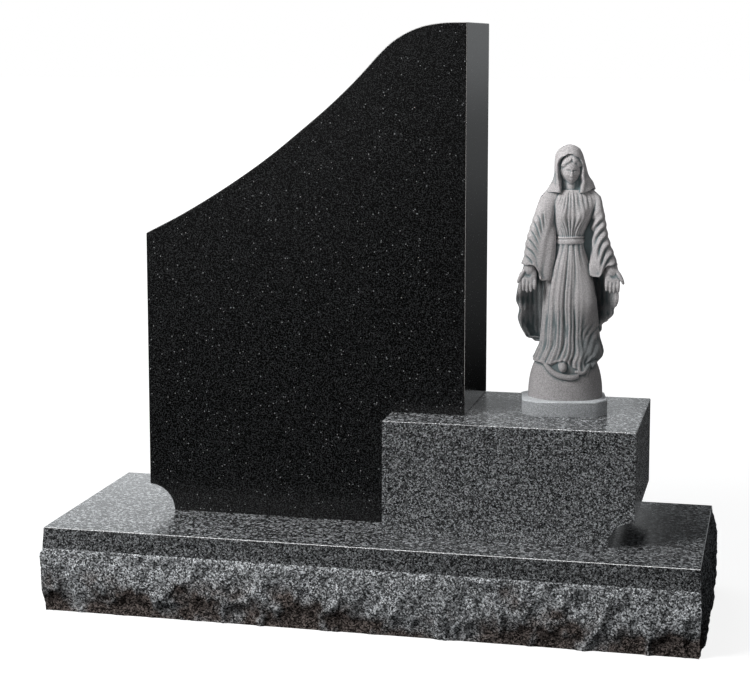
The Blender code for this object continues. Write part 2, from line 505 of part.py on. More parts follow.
def rock_base(spacing, heights):
    x, y, around = perimeter(BASE_LENGTH, BASE_DEPTH, spacing)
    total = 2 * (BASE_LENGTH + BASE_DEPTH)
    z = np.array(heights)[:, None] * np.ones_like(x)
    x, y, around = (v[None, :] * np.ones_like(z) for v in (x, y, around))
    front, end = rock_shape(x, y, around, z, total)
    on_front = np.isclose(np.abs(y), BASE_DEPTH / 2)
    on_end = np.isclose(np.abs(x), BASE_LENGTH / 2)
    points = np.stack([x + np.sign(x) * end * on_end, y + np.sign(y) * front * on_front, z], -1)
    return lofted(points)


low = BASE_HEIGHT - MARGIN
heights = [0.0] + [low * v for v in (0.14, 0.32, 0.5, 0.68, 0.84, 0.95, 1.0)]
heights += [low + MARGIN * v for v in (0.35, 0.7)] + [BASE_HEIGHT]
verts, quads, caps = rock_base(0.036, heights)
node("base", verts.tolist(), quads.tolist() + caps.tolist(), stone("base_granite", (0.34, 0.34, 0.35), 0.35))

# Tablet: black granite, its top swept up in one long curve. Its lower right corner is cut away over the block.
sweep = [(0, 0), (0.115, 0.093), (0.212, 0.182), (0.308, 0.2785), (0.403, 0.384), (0.497, 0.502), (0.589, 0.623),
         (0.681, 0.761), (0.741, 0.8615), (0.772, 0.907), (0.802, 0.9384), (0.861, 0.979), (0.921, 0.9964), (1, 1)]
shares = np.linspace(1, 0, 40)
rise = curve(shares, sweep)
outline = cove(TABLET_LEFT, GROUND, TABLET_COVE, -1)
outline += [(BLOCK_LEFT - GAP, GROUND), (BLOCK_LEFT - GAP, BLOCK_TOP + GAP), (TABLET_RIGHT, BLOCK_TOP + GAP)]
outline += [(TABLET_LEFT + TABLET_WIDTH * s, GROUND + TABLET_LOW + (TABLET_HIGH - TABLET_LOW) * r) for s, r in zip(shares, rise)]
slab("tablet", outline, TABLET_FRONT, BACK, stone("black_granite", (0.012, 0.012, 0.013), 0.08))

# Block: speckled granite, with a cove along its lower right end.
outline = [(BLOCK_LEFT, GROUND)] + cove(BLOCK_RIGHT, GROUND, BLOCK_COVE, 1)
outline += [(BLOCK_RIGHT, BLOCK_TOP), (BLOCK_LEFT, BLOCK_TOP)]
slab("block", outline, BLOCK_FRONT, BACK, stone("grey_granite", (0.30, 0.30, 0.31), 0.25))

# Statue: the carved figure and its globe on an eight-sided plinth, one piece of stone, turned a little to the viewer.
def set_down(made):
    """A form modelled about the middle of the plinth's top, turned and set down on the block."""
    made.location = (STATUE_X, STATUE_Y, BLOCK_TOP + GAP + PLINTH_HEIGHT)
    made.rotation_euler = (0, 0, np.radians(STATUE_TURN))
    return made


verts, faces, count = [], [], 0
for points, quads, caps in forms(1):
    verts.append(points)
    faces += (quads + count).tolist() + (caps + count).tolist()
    count += len(points)
unit = (STATUE_HEIGHT - PLINTH_HEIGHT) / (100 - FOOT)
verts = (np.concatenate(verts) - [0, 0, FOOT]) * unit
carved = stone("carved_stone", (0.42, 0.42, 0.43), 0.75)
statue = set_down(node("statue", verts.tolist(), faces, carved))
modifier(statue, "skin", "REMESH", mode="VOXEL", voxel_size=0.4 * unit, use_smooth_shade=True)
modifier(statue, "thin", "DECIMATE", ratio=0.044)

corner, eased = 0.32 * PLINTH_WIDTH / 2, 0.003
rings = []
for z, inset in [(-PLINTH_HEIGHT, 0), (-eased, 0), (0, eased)]:
    w, d, k = PLINTH_WIDTH / 2 - inset, PLINTH_DEPTH / 2 - inset, corner - 0.4 * inset
    rings.append([(w, -d + k, z), (w, d - k, z), (w - k, d, z), (k - w, d, z), (-w, d - k, z), (-w, k - d, z), (k - w, -d, z), (w - k, -d, z)])
verts, quads, caps = lofted(np.array(rings))
plinth = set_down(node("plinth_form", verts.tolist(), quads.tolist() + caps.tolist(), carved))
plinth.hide_render = True
plinth.display_type = "WIRE"
modifier(statue, "plinth", "BOOLEAN", operation="UNION", object=plinth, solver="EXACT")
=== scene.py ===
import bpy
import numpy as np
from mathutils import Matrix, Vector


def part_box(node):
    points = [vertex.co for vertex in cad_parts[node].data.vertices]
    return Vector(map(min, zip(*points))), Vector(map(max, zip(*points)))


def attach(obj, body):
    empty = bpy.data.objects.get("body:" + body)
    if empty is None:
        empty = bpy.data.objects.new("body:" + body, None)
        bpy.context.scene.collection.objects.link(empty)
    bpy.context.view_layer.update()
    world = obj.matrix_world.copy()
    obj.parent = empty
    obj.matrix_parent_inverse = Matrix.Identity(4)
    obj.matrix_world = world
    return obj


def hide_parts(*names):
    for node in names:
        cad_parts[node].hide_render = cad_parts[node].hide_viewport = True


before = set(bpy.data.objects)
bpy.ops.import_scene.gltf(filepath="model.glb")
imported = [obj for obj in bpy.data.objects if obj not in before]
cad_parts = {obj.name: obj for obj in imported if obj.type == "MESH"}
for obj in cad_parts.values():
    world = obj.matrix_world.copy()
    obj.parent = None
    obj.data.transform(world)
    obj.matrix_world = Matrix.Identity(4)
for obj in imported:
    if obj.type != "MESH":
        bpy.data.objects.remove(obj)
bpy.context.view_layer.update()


# Base.
# The real one is a slab of salt-and-pepper granite, sawn and polished on top, with a polished margin along
# the front and back. Below the margin, and on both ends, the stone is split with a chisel and left rough.
TAU = 2 * np.pi
BASE_HEIGHT = 0.203
MARGIN = 0.051
ROCK = 0.014
ROCK_END = 0.030
BASE_LENGTH = 1.525
BASE_DEPTH = 0.559
BASE_ARRIS = 0.0012
POINT_SPACING = 0.0042


def curve(at, stations):
    """Catmull-Rom curve through (position, value) stations, held flat beyond the ends."""
    knots = np.array(sorted(stations), float)
    x, y = knots[:, 0], knots[:, 1]
    slope = np.gradient(y, x)
    at = np.clip(at, x[0], x[-1])
    i = np.clip(np.searchsorted(x, at) - 1, 0, len(x) - 2)
    h = x[i + 1] - x[i]
    t = (at - x[i]) / h
    return ((1 + 2 * t) * (1 - t) ** 2 * y[i] + t * (1 - t) ** 2 * h * slope[i]
            + t * t * (3 - 2 * t) * y[i + 1] + t * t * (t - 1) * h * slope[i + 1])


def step(low, high, x):
    """A smooth step: 0 up to low, 1 from high on, and three squares less two cubes of the share between."""
    t = np.clip((x - low) / (high - low), 0, 1)
    return t * t * (3 - 2 * t)


def lofted(points):
    """Vertices and faces of a closed loft: rings (n, m, 3), each end closed by a fan."""
    n, m = points.shape[:2]
    verts = np.concatenate([points.reshape(-1, 3), points[:1].mean(1), points[-1:].mean(1)])
    i, j = np.meshgrid(np.arange(n - 1), np.arange(m), indexing="ij")
    k = (j + 1) % m
    quads = np.stack([i * m + j, i * m + k, (i + 1) * m + k, (i + 1) * m + j], -1).reshape(-1, 4)
    j = np.arange(m)
    k = (j + 1) % m
    low = np.stack([np.full(m, n * m), k, j], -1)
    high = np.stack([np.full(m, n * m + 1), (n - 1) * m + j, (n - 1) * m + k], -1)
    return verts, quads, np.concatenate([low, high])


def set_mesh(name, points, faces, materials, smooth=True):
    """One object at the origin from an array of points and a list of faces, with its materials."""
    mesh = bpy.data.meshes.new(name)
    mesh.from_pydata(np.asarray(points).tolist(), [], faces)
    mesh.update()
    for material in materials:
        mesh.materials.append(material)
    mesh.polygons.foreach_set("use_smooth", np.full(len(mesh.polygons), smooth))
    piece = bpy.data.objects.new(name, mesh)
    bpy.context.scene.collection.objects.link(piece)
    return piece


def around_base(spacing):
    """Points round the base's rectangle, evenly spaced along each side, and how far round each one is."""
    nx, ny = round(BASE_LENGTH / spacing), round(BASE_DEPTH / spacing)
    sx, sy = np.linspace(0, 1, nx + 1)[:-1], np.linspace(0, 1, ny + 1)[:-1]
    x = np.concatenate([sx - 0.5, 0 * sy + 0.5, 0.5 - sx, 0 * sy - 0.5]) * BASE_LENGTH
    y = np.concatenate([0 * sx - 0.5, sy - 0.5, 0 * sx + 0.5, 0.5 - sy]) * BASE_DEPTH
    way = np.concatenate([sx * BASE_LENGTH,
                          BASE_LENGTH + sy * BASE_DEPTH,
                          BASE_LENGTH + BASE_DEPTH + sx * BASE_LENGTH,
                          2 * BASE_LENGTH + BASE_DEPTH + sy * BASE_DEPTH])
    return x, y, way


def chips(way, z, size, seed):
    """Scallops split from the face: the distance to the nearest of many hollows, 0 in each, 1 on the ridges.

    The hollows lie one to a cell of a jittered grid round the base, so each point looks at nine of them.
    """
    total = 2 * (BASE_LENGTH + BASE_DEPTH)
    columns, rows = max(4, round(total / size)), max(2, round(0.25 / size) + 1)
    shift = np.random.default_rng(seed).random((columns * rows, 2)).reshape(columns, rows, 2)
    tall = 0.25 / (rows - 1)
    c, r = np.floor(way / total * columns).astype(int), np.floor(z / tall + 0.5).astype(int)
    near = np.full(way.shape, 1e9)
    for dc in (-1, 0, 1):
        for dr in (-1, 0, 1):
            cc, rr = c + dc, np.clip(r + dr, 0, rows - 1)
            there = shift[cc % columns, rr]
            across = (cc + there[..., 0]) / columns * total - way
            up = (rr + there[..., 1] - 0.5) * tall - z
            near = np.minimum(near, np.sqrt(across ** 2 + (0.75 * up) ** 2))
    return np.clip(near / size, 0, 1) ** 1.4


def split_rock(y, way, z):
    """How far the split stone stands out on the long sides and on the ends, and how hollow it lies, 0 to 1.

    Each is a belly under the margin, less the scallops chipped from it.
    """
    drop = (BASE_HEIGHT - MARGIN - z) / (BASE_HEIGHT - MARGIN)
    down = 1 - z / BASE_HEIGHT
    chipped = 0.62 * chips(way, z, 0.075, 7) + 0.38 * chips(way, z, 0.034, 11)
    fine = 0.55 * chips(way, z, 0.0155, 3) + 0.30 * chips(way, z, 0.0085, 5)
    chipped = chipped - 0.30 * fine + 0.06
    hollow = step(0.62, 0.22, chipped)
    belly = 0.55 + 0.45 * np.sin(np.pi * np.clip(1.25 * drop, 0, 1)) - 0.75 * step(0.62, 1.0, drop)
    front = ROCK * np.clip(belly + 2.0 * (chipped - 0.5), -0.9, 1.0) * step(0.0, 0.07, drop)
    front = np.maximum(front, -0.6 * ROCK) + 0.0030 * step(0.0, 0.022, drop) * step(0.20, 0.05, drop)
    belly = np.sin(np.pi * np.clip(0.10 + 0.78 * down, 0, 1)) ** 0.8
    end = ROCK_END * np.clip(0.85 * belly + 1.0 * (chipped - 0.5), 0.0, 1.0) * step(0.0, 0.10, down)
    corner = np.minimum(np.abs(y - BASE_DEPTH / 2), np.abs(y + BASE_DEPTH / 2)) / BASE_DEPTH
    return front, end * (0.25 + 0.75 * step(0.0, 0.12, corner)), hollow


def opened(material):
    """A material's nodes, links and shader."""
    material.use_nodes = True
    nodes = material.node_tree.nodes
    return nodes, material.node_tree.links, nodes["Principled BSDF"]


def feed(links, node, inputs):
    """Give a node its inputs, each a fixed value or another node's output."""
    for at, source in inputs.items():
        if isinstance(source, bpy.types.NodeSocket):
            links.new(source, node.inputs[at])
        else:
            node.inputs[at].default_value = source


def noise(nodes, links, where, scale, detail):
    """A soft random pattern on the piece's own coordinates, that many waves to the metre."""
    node = nodes.new("ShaderNodeTexNoise")
    feed(links, node, {"Vector": where.outputs["Object"], "Scale": scale, "Detail": detail})
    return node


def maths(nodes, links, operation, *sources):
    """The result of one operation on numbers."""
    node = nodes.new("ShaderNodeMath")
    node.operation = operation
    feed(links, node, dict(enumerate(sources)))
    return node.outputs[0]


def mixed(nodes, links, share, first, second, kind="RGBA", blend="MIX"):
    """Two numbers, vectors or colours mixed by the second's share."""
    node = nodes.new("ShaderNodeMix")
    node.data_type, node.blend_type = kind, blend
    k = ("FLOAT", "VECTOR", "RGBA").index(kind)
    feed(links, node, {0: share, 2 * k + 2: first, 2 * k + 3: second})
    return node.outputs[k]


def ranged(nodes, links, source, low, high, to_low, to_high, ease="SMOOTHSTEP"):
    """A value carried from one range over to another, and held at its ends."""
    node = nodes.new("ShaderNodeMapRange")
    node.interpolation_type = ease
    feed(links, node, dict(enumerate((source, low, high, to_low, to_high))))
    return node.outputs[0]


def pitted(nodes, links, shader, pattern, strength, depth):
    """Shade the surface as if the pattern were that deep in it."""
    node = nodes.new("ShaderNodeBump")
    feed(links, node, {"Strength": strength, "Distance": depth, "Height": pattern.outputs[0]})
    links.new(node.outputs[0], shader.inputs["Normal"])


def crystals(name, tones, size, gloss, clouds=0.10):
    """Granite: Voronoi cells of two sizes laid over each other, each given one of five tones, dark to light.

    Noise bends the cells' edges a little, and a soft cloud drifts through the tones.
    """
    stone = bpy.data.materials.new(name)
    nodes, links, shader = opened(stone)
    where = nodes.new("ShaderNodeTexCoord")
    bend = noise(nodes, links, where, 1.1 / size, 1)
    push = mixed(nodes, links, 0.6 * size, where.outputs["Object"], bend.outputs["Color"], "VECTOR")
    shares = []
    for scale, output in ((1.0, 0), (1.9, 1)):
        cells = nodes.new("ShaderNodeTexVoronoi")
        feed(links, cells, {"Vector": push, "Scale": scale / size})
        split = nodes.new("ShaderNodeSeparateColor")
        links.new(cells.outputs["Color"], split.inputs[0])
        shares.append(split.outputs[output])
    both = mixed(nodes, links, 0.36, *shares, "FLOAT")
    cloud = noise(nodes, links, where, 11, 3)
    total = maths(nodes, links, "MULTIPLY_ADD", cloud.outputs[0], clouds, both)
    ramp = nodes.new("ShaderNodeValToRGB")
    stops = ramp.color_ramp.elements
    middle = 0.5 + 0.5 * clouds
    places = [middle + off for off in (-0.26, -0.10, 0.06, 0.20, 0.33)]
    stops[0].position, stops[1].position = places[0], places[-1]
    for at in places[1:-1]:
        stops.new(at)
    for stop, value in zip(stops, tones):
        stop.color = (*value, 1)
    links.new(total, ramp.inputs[0])
    links.new(ramp.outputs[0], shader.inputs["Base Color"])
    shader.inputs["Roughness"].default_value = gloss
    shader.inputs["IOR"].default_value = 1.52
    return stone


def greys(*values):
    """Neutral greys, a little cool in the dark crystals."""
    return [(0.97 * v, v, 1.03 * v) for v in values]


def split_stone(name, tones, size):
    """The same granite, split: matt and pitted, soil-stained near the foot, with painted shade in the
    hollows.
    """
    stone = crystals(name, tones, size, 0.9, 0.16)
    nodes, links, shader = opened(stone)
    shader.inputs["Specular IOR Level"].default_value = 0.0
    clean = shader.inputs["Base Color"].links[0].from_socket
    where = nodes.new("ShaderNodeTexCoord")
    axes = nodes.new("ShaderNodeSeparateXYZ")
    links.new(where.outputs["Object"], axes.inputs[0])
    drift = noise(nodes, links, where, 9, 4)
    high = maths(nodes, links, "MULTIPLY_ADD", drift.outputs[0], 0.34, axes.outputs["Z"])
    hollow = nodes.new("ShaderNodeAttribute")
    hollow.attribute_name = "hollow"
    # In the hollows the brown reaches higher and lies heavier: painted shade over the soil stain.
    climb = maths(nodes, links, "MULTIPLY_ADD", hollow.outputs["Fac"], -0.045, high)
    soil = ranged(nodes, links, climb, 0.225, 0.145, 0.0, 1.0)
    deep = maths(nodes, links, "MULTIPLY_ADD", hollow.outputs["Fac"], 0.85, 0.30)
    laid = maths(nodes, links, "MULTIPLY", soil, deep)
    laid.node.use_clamp = True
    brown = mixed(nodes, links, laid, clean, (0.35, 0.285, 0.255, 1), blend="MULTIPLY")
    links.new(brown, shader.inputs["Base Color"])
    pitted(nodes, links, shader, noise(nodes, links, where, 210, 4), 0.6, 0.003)
    return stone


low, top = BASE_HEIGHT - MARGIN, BASE_HEIGHT - BASE_ARRIS
x, y, way = around_base(POINT_SPACING)
# Rows of points from the ground up: evenly over the rock, closer under the margin, then over the margin.
heights = np.concatenate([np.linspace(0, 1, 34) * (low - 0.005),
                          low - np.array([0.0034, 0.0022, 0.0012, 0.0004, 0]),
                          low + (top - low) * np.array([0.03, 0.25, 0.5, 0.75, 0.97, 1]),
                          [BASE_HEIGHT]])
z = heights[:, None] * np.ones_like(x)
x, y, way = (v[None, :] * np.ones_like(z) for v in (x, y, way))
front, end, hollow = split_rock(y, way, z)
below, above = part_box("base")
end *= (min(above.x, -below.x) - BASE_LENGTH / 2) / end.max()
front *= (above.y - BASE_DEPTH / 2) / front.max()
on_front, on_end = np.isclose(np.abs(y), BASE_DEPTH / 2), np.isclose(np.abs(x), BASE_LENGTH / 2)
eased = BASE_ARRIS * (z > top + 1e-6)
points = np.stack([x + np.sign(x) * (end - eased) * on_end,
                   y + np.sign(y) * (front - eased) * on_front,
                   z], -1)
verts, quads, caps = lofted(points)
polished = crystals("polished_grey_granite", greys(0.005, 0.032, 0.115, 0.28, 0.60), 0.0052, 0.12)
margin = crystals("polished_margin_granite", greys(0.008, 0.034, 0.105, 0.22, 0.46), 0.0028, 0.14)
rough = split_stone("split_grey_granite", greys(0.028, 0.105, 0.26, 0.52, 0.90), 0.0032)
base = set_mesh("base_stone", verts, quads.tolist() + caps.tolist(), [polished, margin, rough])
# How hollow the split stone lies, which the soil stain and its painted shade follow.
hollow_shade_layer = base.data.attributes.new("hollow", "FLOAT", "POINT")
hollow_shade_layer.data.foreach_set("value", np.append(hollow.ravel(), [0, 0]).astype(np.float32))
middle = points.reshape(-1, 3)[quads].mean(1)
is_split = (middle[:, 2] < low) | (np.abs(middle[:, 1]) < BASE_DEPTH / 2 - 0.003) & (middle[:, 2] < top)
which = np.concatenate([np.where(is_split, 2, 1), np.repeat([2, 0], len(caps) // 2)])
base.data.polygons.foreach_set("material_index", which.astype(np.int32))
base.data.set_sharp_from_angle(angle=np.radians(32))
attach(base, "root")
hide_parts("base")


# Tablet.
# The real one is a thick plate of black granite, polished all over, its top swept up to the right in one
# long curve. It stands on the base with a cove at its lower left corner, and its lower right corner is cut
# away over the block.
JOINT = 0.0003
GROUND = BASE_HEIGHT + JOINT
TABLET_LEFT, TABLET_RIGHT = -0.5755, 0.2025
TABLET_FRONT, BACK = -0.0615, 0.2455
TABLET_LOW, TABLET_HIGH = GROUND + 0.678, GROUND + 1.177
BLOCK_LEFT, BLOCK_RIGHT, BLOCK_FRONT = 0.0275, 0.6095, -0.1615
BLOCK_TOP = GROUND + 0.268
TABLET_COVE = 0.062
PLATE_ARRIS = 0.0020
SPECK_SPACING = 0.0034


def plate(name, outline, front, back, material):
    """A plate: an outline in X and Z carried straight from front to back, edges eased by a narrow bevel."""
    x, z = np.array(outline).T
    n = len(x)
    points = np.concatenate([np.stack([x, 0 * x + front, z], -1), np.stack([x, 0 * x + back, z], -1)])
    i = np.arange(n)
    sides = np.stack([(i + 1) % n, i, n + i, n + (i + 1) % n], -1)
    piece = set_mesh(name, points, [i.tolist(), (2 * n - 1 - i).tolist()] + sides.tolist(), [material])
    eased = piece.modifiers.new("arris", "BEVEL")
    eased.width = PLATE_ARRIS
    eased.segments = 3
    eased.limit_method = "ANGLE"
    eased.angle_limit = 0.6
    eased.harden_normals = False
    level = piece.modifiers.new("flat", "WEIGHTED_NORMAL")
    level.keep_sharp = True
    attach(piece, "root")
    return piece


def cove(corner_x, corner_z, radius, side, steps=24):
    """A quarter circle bitten from a lower corner, anticlockwise. Side is -1 at the left, 1 at the right."""
    turns = np.linspace(0, np.pi / 2, steps)
    points = [(corner_x - side * radius * np.cos(t), corner_z + radius * np.sin(t)) for t in turns]
    return points if side > 0 else points[::-1]


# The swept top: how far along the tablet, and how far from its low end's height to its high end's.
sweep = [(0, 0), (0.115, 0.093), (0.212, 0.182), (0.308, 0.2785), (0.403, 0.384), (0.497, 0.502),
         (0.589, 0.623), (0.681, 0.761), (0.741, 0.8615), (0.772, 0.907), (0.802, 0.9384),
         (0.861, 0.979), (0.921, 0.9964), (1, 1)]
shares = np.linspace(1, 0, 150)
rise = curve(shares, sweep)
outline = cove(TABLET_LEFT, GROUND, TABLET_COVE, -1)
outline += [(BLOCK_LEFT - JOINT, GROUND), (BLOCK_LEFT - JOINT, BLOCK_TOP + JOINT)]
outline += [(TABLET_RIGHT, BLOCK_TOP + JOINT)]
outline += list(zip(TABLET_LEFT + (TABLET_RIGHT - TABLET_LEFT) * shares,
                    TABLET_LOW + (TABLET_HIGH - TABLET_LOW) * rise))
black = crystals("polished_black_granite", greys(0.0022, 0.0035, 0.006, 0.016, 0.050), 0.0018, 0.16, 0.05)
nodes, links, shader = opened(black)
shader.inputs["Specular IOR Level"].default_value = 0.34
shader.inputs["Specular Tint"].default_value = (1.0, 0.965, 0.94, 1)

# One cell in about sixty holds a small bright fleck of feldspar.
where = nodes.new("ShaderNodeTexCoord")
specks = nodes.new("ShaderNodeTexVoronoi")
feed(links, specks, {"Vector": where.outputs["Object"], "Scale": 1 / SPECK_SPACING})
chance = nodes.new("ShaderNodeSeparateColor")
links.new(specks.outputs["Color"], chance.inputs[0])
rare = maths(nodes, links, "GREATER_THAN", chance.outputs[2], 0.984)
near = maths(nodes, links, "LESS_THAN", specks.outputs["Distance"], 0.36)
bright = maths(nodes, links, "MULTIPLY", rare, near)
ground = shader.inputs["Base Color"].links[0].from_socket
links.new(mixed(nodes, links, bright, ground, (0.36, 0.37, 0.38, 1)), shader.inputs["Base Color"])
tablet = plate("tablet_stone", outline, TABLET_FRONT, BACK, black)
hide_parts("tablet")


# Block.
# The real one is a low block of speckled granite, polished all over. It stands forward of the tablet, which
# laps over its left part, and a cove runs along the foot of its right end.
BLOCK_COVE = 0.061

outline = [(BLOCK_LEFT, GROUND)] + cove(BLOCK_RIGHT, GROUND, BLOCK_COVE, 1)
outline += [(BLOCK_RIGHT, BLOCK_TOP), (BLOCK_LEFT, BLOCK_TOP)]
speckled = crystals("speckled_granite", greys(0.012, 0.042, 0.110, 0.240, 0.50), 0.0027, 0.20)
block = plate("block_stone", outline, BLOCK_FRONT, BACK, speckled)

# The top shows larger crystals than the sides.
speckled_top = crystals("speckled_top_granite", greys(0.010, 0.042, 0.115, 0.27, 0.62), 0.0048, 0.20)
block.data.materials.append(speckled_top)
on_top = np.array([side.normal.z > 0.9 for side in block.data.polygons])
block.data.polygons.foreach_set("material_index", on_top.astype(np.int32))
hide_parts("block")


# Statue.
# The real one is cut from one block of light, fine-grained stone: a veiled figure in a long pleated robe, the
# hands held low and open, standing on a globe with a snake underfoot, on an eight-sided plinth.
STATUE_HEIGHT = 0.629
PLINTH_HEIGHT = 0.0355
PLINTH_WIDTH = 0.198
PLINTH_DEPTH = 0.155
PLINTH_ARRIS = 0.003
STATUE_X, STATUE_Y = 0.420, 0.052
STATUE_TURN = 10.0
SKIN = 0.00115
SKIN_TRIANGLES = 180000

# The figure is worked out on its own scale: the globe stands at this height, and the veil's top is at 100.
FOOT = 5.6


def bell(x, centre, width):
    """A bell curve: 1 at the centre, falling off with the square of the distance over the width."""
    return np.exp(-((x - centre) / width) ** 2)


def pleat(phase, sharp=1.7):
    """Round ridges between narrow valleys: 0 in a valley, 1 on a ridge."""
    return 1 - np.abs(2 * (phase % 1) - 1) ** sharp


def grid(rings, around, low, high):
    """Heights and angles of a loft's grid. The angle is 0 at the front and grows to the viewer's right."""
    z = np.linspace(low, high, rings)[:, None]
    a = (np.arange(around) / around * TAU - np.pi)[None, :]
    return z * np.ones_like(a), a * np.ones_like(z)


def oval(a, power):
    """A superellipse's radius at each angle, for half-axes of one."""
    return (np.abs(np.sin(a)) ** power + np.abs(np.cos(a)) ** power) ** (-1 / power)


def place(a, width, depth, cx, cy, z, power=2.0, out=0.0):
    """Points at angles a on an oval of that half-width and half-depth, pushed out along their own radius."""
    r = oval(a, power)
    x, y = width * r * np.sin(a), -depth * r * np.cos(a)
    size = np.hypot(x, y) + 1e-9
    return np.stack([cx + x * (1 + out / size), cy + y * (1 + out / size), z * np.ones_like(x)], -1)


def robe(q):
    """The skirt: ovals from a wavy hem to the belt, pushed out in fine and deep pleats that lean sideways.

    The bent knee is a bell pushed out on the right, where the pleats fade.
    """
    s, a = grid(75 * q, 150 * q, 0, 1)
    x = 0.8 + 12.2 * np.sin(a)
    front = np.cos(a) > 0
    hem = curve(x, [(-12, 19.6), (-8, 19.3), (-4.5, 19.4), (-2.5, 20.4), (0.2, 20.4), (2, 18.7), (4, 17.5),
                    (6.2, 16.9), (7.3, 18.4), (8.5, 21.0), (10.5, 21.6), (13, 20.6)])
    hem = np.where(front, hem, 20.2)
    hem = hem + 0.5 * np.sin(6 * a + 1) * step(1.4, 1.9, np.abs(a))
    z = hem + (66.0 - hem) * s
    width = curve(z, [(17, 12.0), (20, 12.2), (22, 12.5), (26, 11.4), (34, 10.5), (47, 9.2), (55, 7.4),
                      (61, 5.5), (66, 4.7)])
    depth = curve(z, [(17, 9.6), (20, 9.3), (26, 7.9), (32, 7.0), (42, 6.7), (50, 6.2), (57, 5.5),
                      (62, 4.6), (66, 4.3)])
    cx = curve(z, [(17, 0.8), (20, 0.9), (22, 1.8), (30, 2.0), (47, 1.5), (66, 1.5)])
    lower = step(66, 22, z)
    lean = a + 0.16 * lower * np.cos(a)
    leg = bell(a, 0.74, 0.55) * step(60, 50, z) * step(17, 24, z)
    wander = 0.45 * np.sin(0.17 * z + 3.1 * a) + 0.35 * np.sin(0.33 * z - 2.3 * a)
    wander = wander * (0.6 + 1.2 * step(40, 24, z))
    amount = (0.40 + 0.75 * lower) * (1 - 0.96 * leg) * (1 - 0.25 * step(1.4, 2.2, np.abs(a)))
    amount = amount * (0.72 + 0.60 * bell(a, 0.0, 0.50))
    fine = pleat(lean / TAU * 46 + 0.16 * wander, 1.4)
    deep = pleat(lean / TAU * 17 + 0.20 * wander + 0.35, 2.4)
    out = amount * (0.42 * fine + 0.85 * deep - 0.85)
    knee = 2.3 * bell(a, 0.70, 0.42) * bell(z, 43, np.where(z > 43, 10, 6.8))
    out += knee + 0.7 * bell(a, -0.5, 0.35) * bell(z, 47, 12)
    out -= 1.2 * bell(a, 0.80, 0.5) * bell(z, 29.5, 5.5)
    # Slack cloth swings across below the knee, in long hanging curves.
    swing = (z + 9 * (a - 1.45) ** 2) / 4.0
    out += 0.45 * (pleat(swing, 1.6) - 0.5) * bell(a, 0.95, 0.5) * step(36, 31, z) * step(19, 23, z)
    out += 0.35 * bell(s, 0.0, 0.02)
    pts = place(a, width, depth, cx, 0.0, z, 2.2, out)
    # Under the hem the cloth turns in and down on to the globe.
    under = pts[0] * [0.74, 0.74, 0] + [0.4, 0, 17.0]
    return lofted(np.concatenate([(under * [0.8, 0.8, 0] + [0, 0, 14.0])[None], under[None], pts]))


def bodice(q):
    """The robe above the belt: ovals up to the neckline, with the breast and the gathers pushed out."""
    z, a = grid(35 * q, 110 * q, 61, 83.2)
    width = curve(z, [(61, 4.7), (64, 4.6), (66, 4.9), (70, 5.9), (75, 6.5), (79, 6.8), (81.6, 5.2),
                      (83.2, 3.0)])
    depth = curve(z, [(61, 4.3), (64, 4.2), (66, 4.4), (70, 5.0), (75, 5.3), (79, 4.7), (81.6, 3.7),
                      (83.2, 2.5)])
    out = 1.0 * (bell(a, 0.46, 0.30) + bell(a, -0.46, 0.30)) * bell(z, 73.8, 3.4)
    front = bell(a, 0, 1.0)
    # Gathers spread from the neckline over the breast and meet again at the belt.
    phase = a / TAU * 40 * (1 - 0.22 * bell(z, 74, 4.5)) + 0.25 * np.sin(0.5 * z) * np.sin(3 * a)
    depth_of = 0.62 - 0.30 * bell(z, 75, 3)
    out += depth_of * (pleat(phase, 1.5) - 0.6) * front * step(83, 81.6, z)
    out += 0.28 * (pleat(a / TAU * 15 + 0.4, 2.0) - 0.5) * front
    pts = place(a, width, depth, 1.5, 0.0, z, 2.2, out)
    shoulder = curve(z, [(61, 0), (69, 0.3), (72, 1.2), (75.5, 2.6), (79, 4.4), (81.6, 4.8), (83.2, 2.0)])
    right = np.clip((pts[..., 0] - 1.5) / (width + 1e-9), 0, 1.2)
    pts[..., 0] += shoulder * right ** 1.5
    return lofted(pts)


def belt(q):
    """A band round the waist, rounded in section, with one groove near its upper edge."""
    rise, a = grid(12 * q, 80 * q, 0, 1)
    z = 63.1 + 3.1 * rise + 0.15 * np.sin(a)
    bulge = 0.50 * (1 - np.abs(2 * rise - 1) ** 6) - 0.40 * bell(rise, 0.66, 0.10)
    return lofted(place(a, 4.75, 4.4, 1.5, 0.0, z, 2.2, 0.1 + bulge))


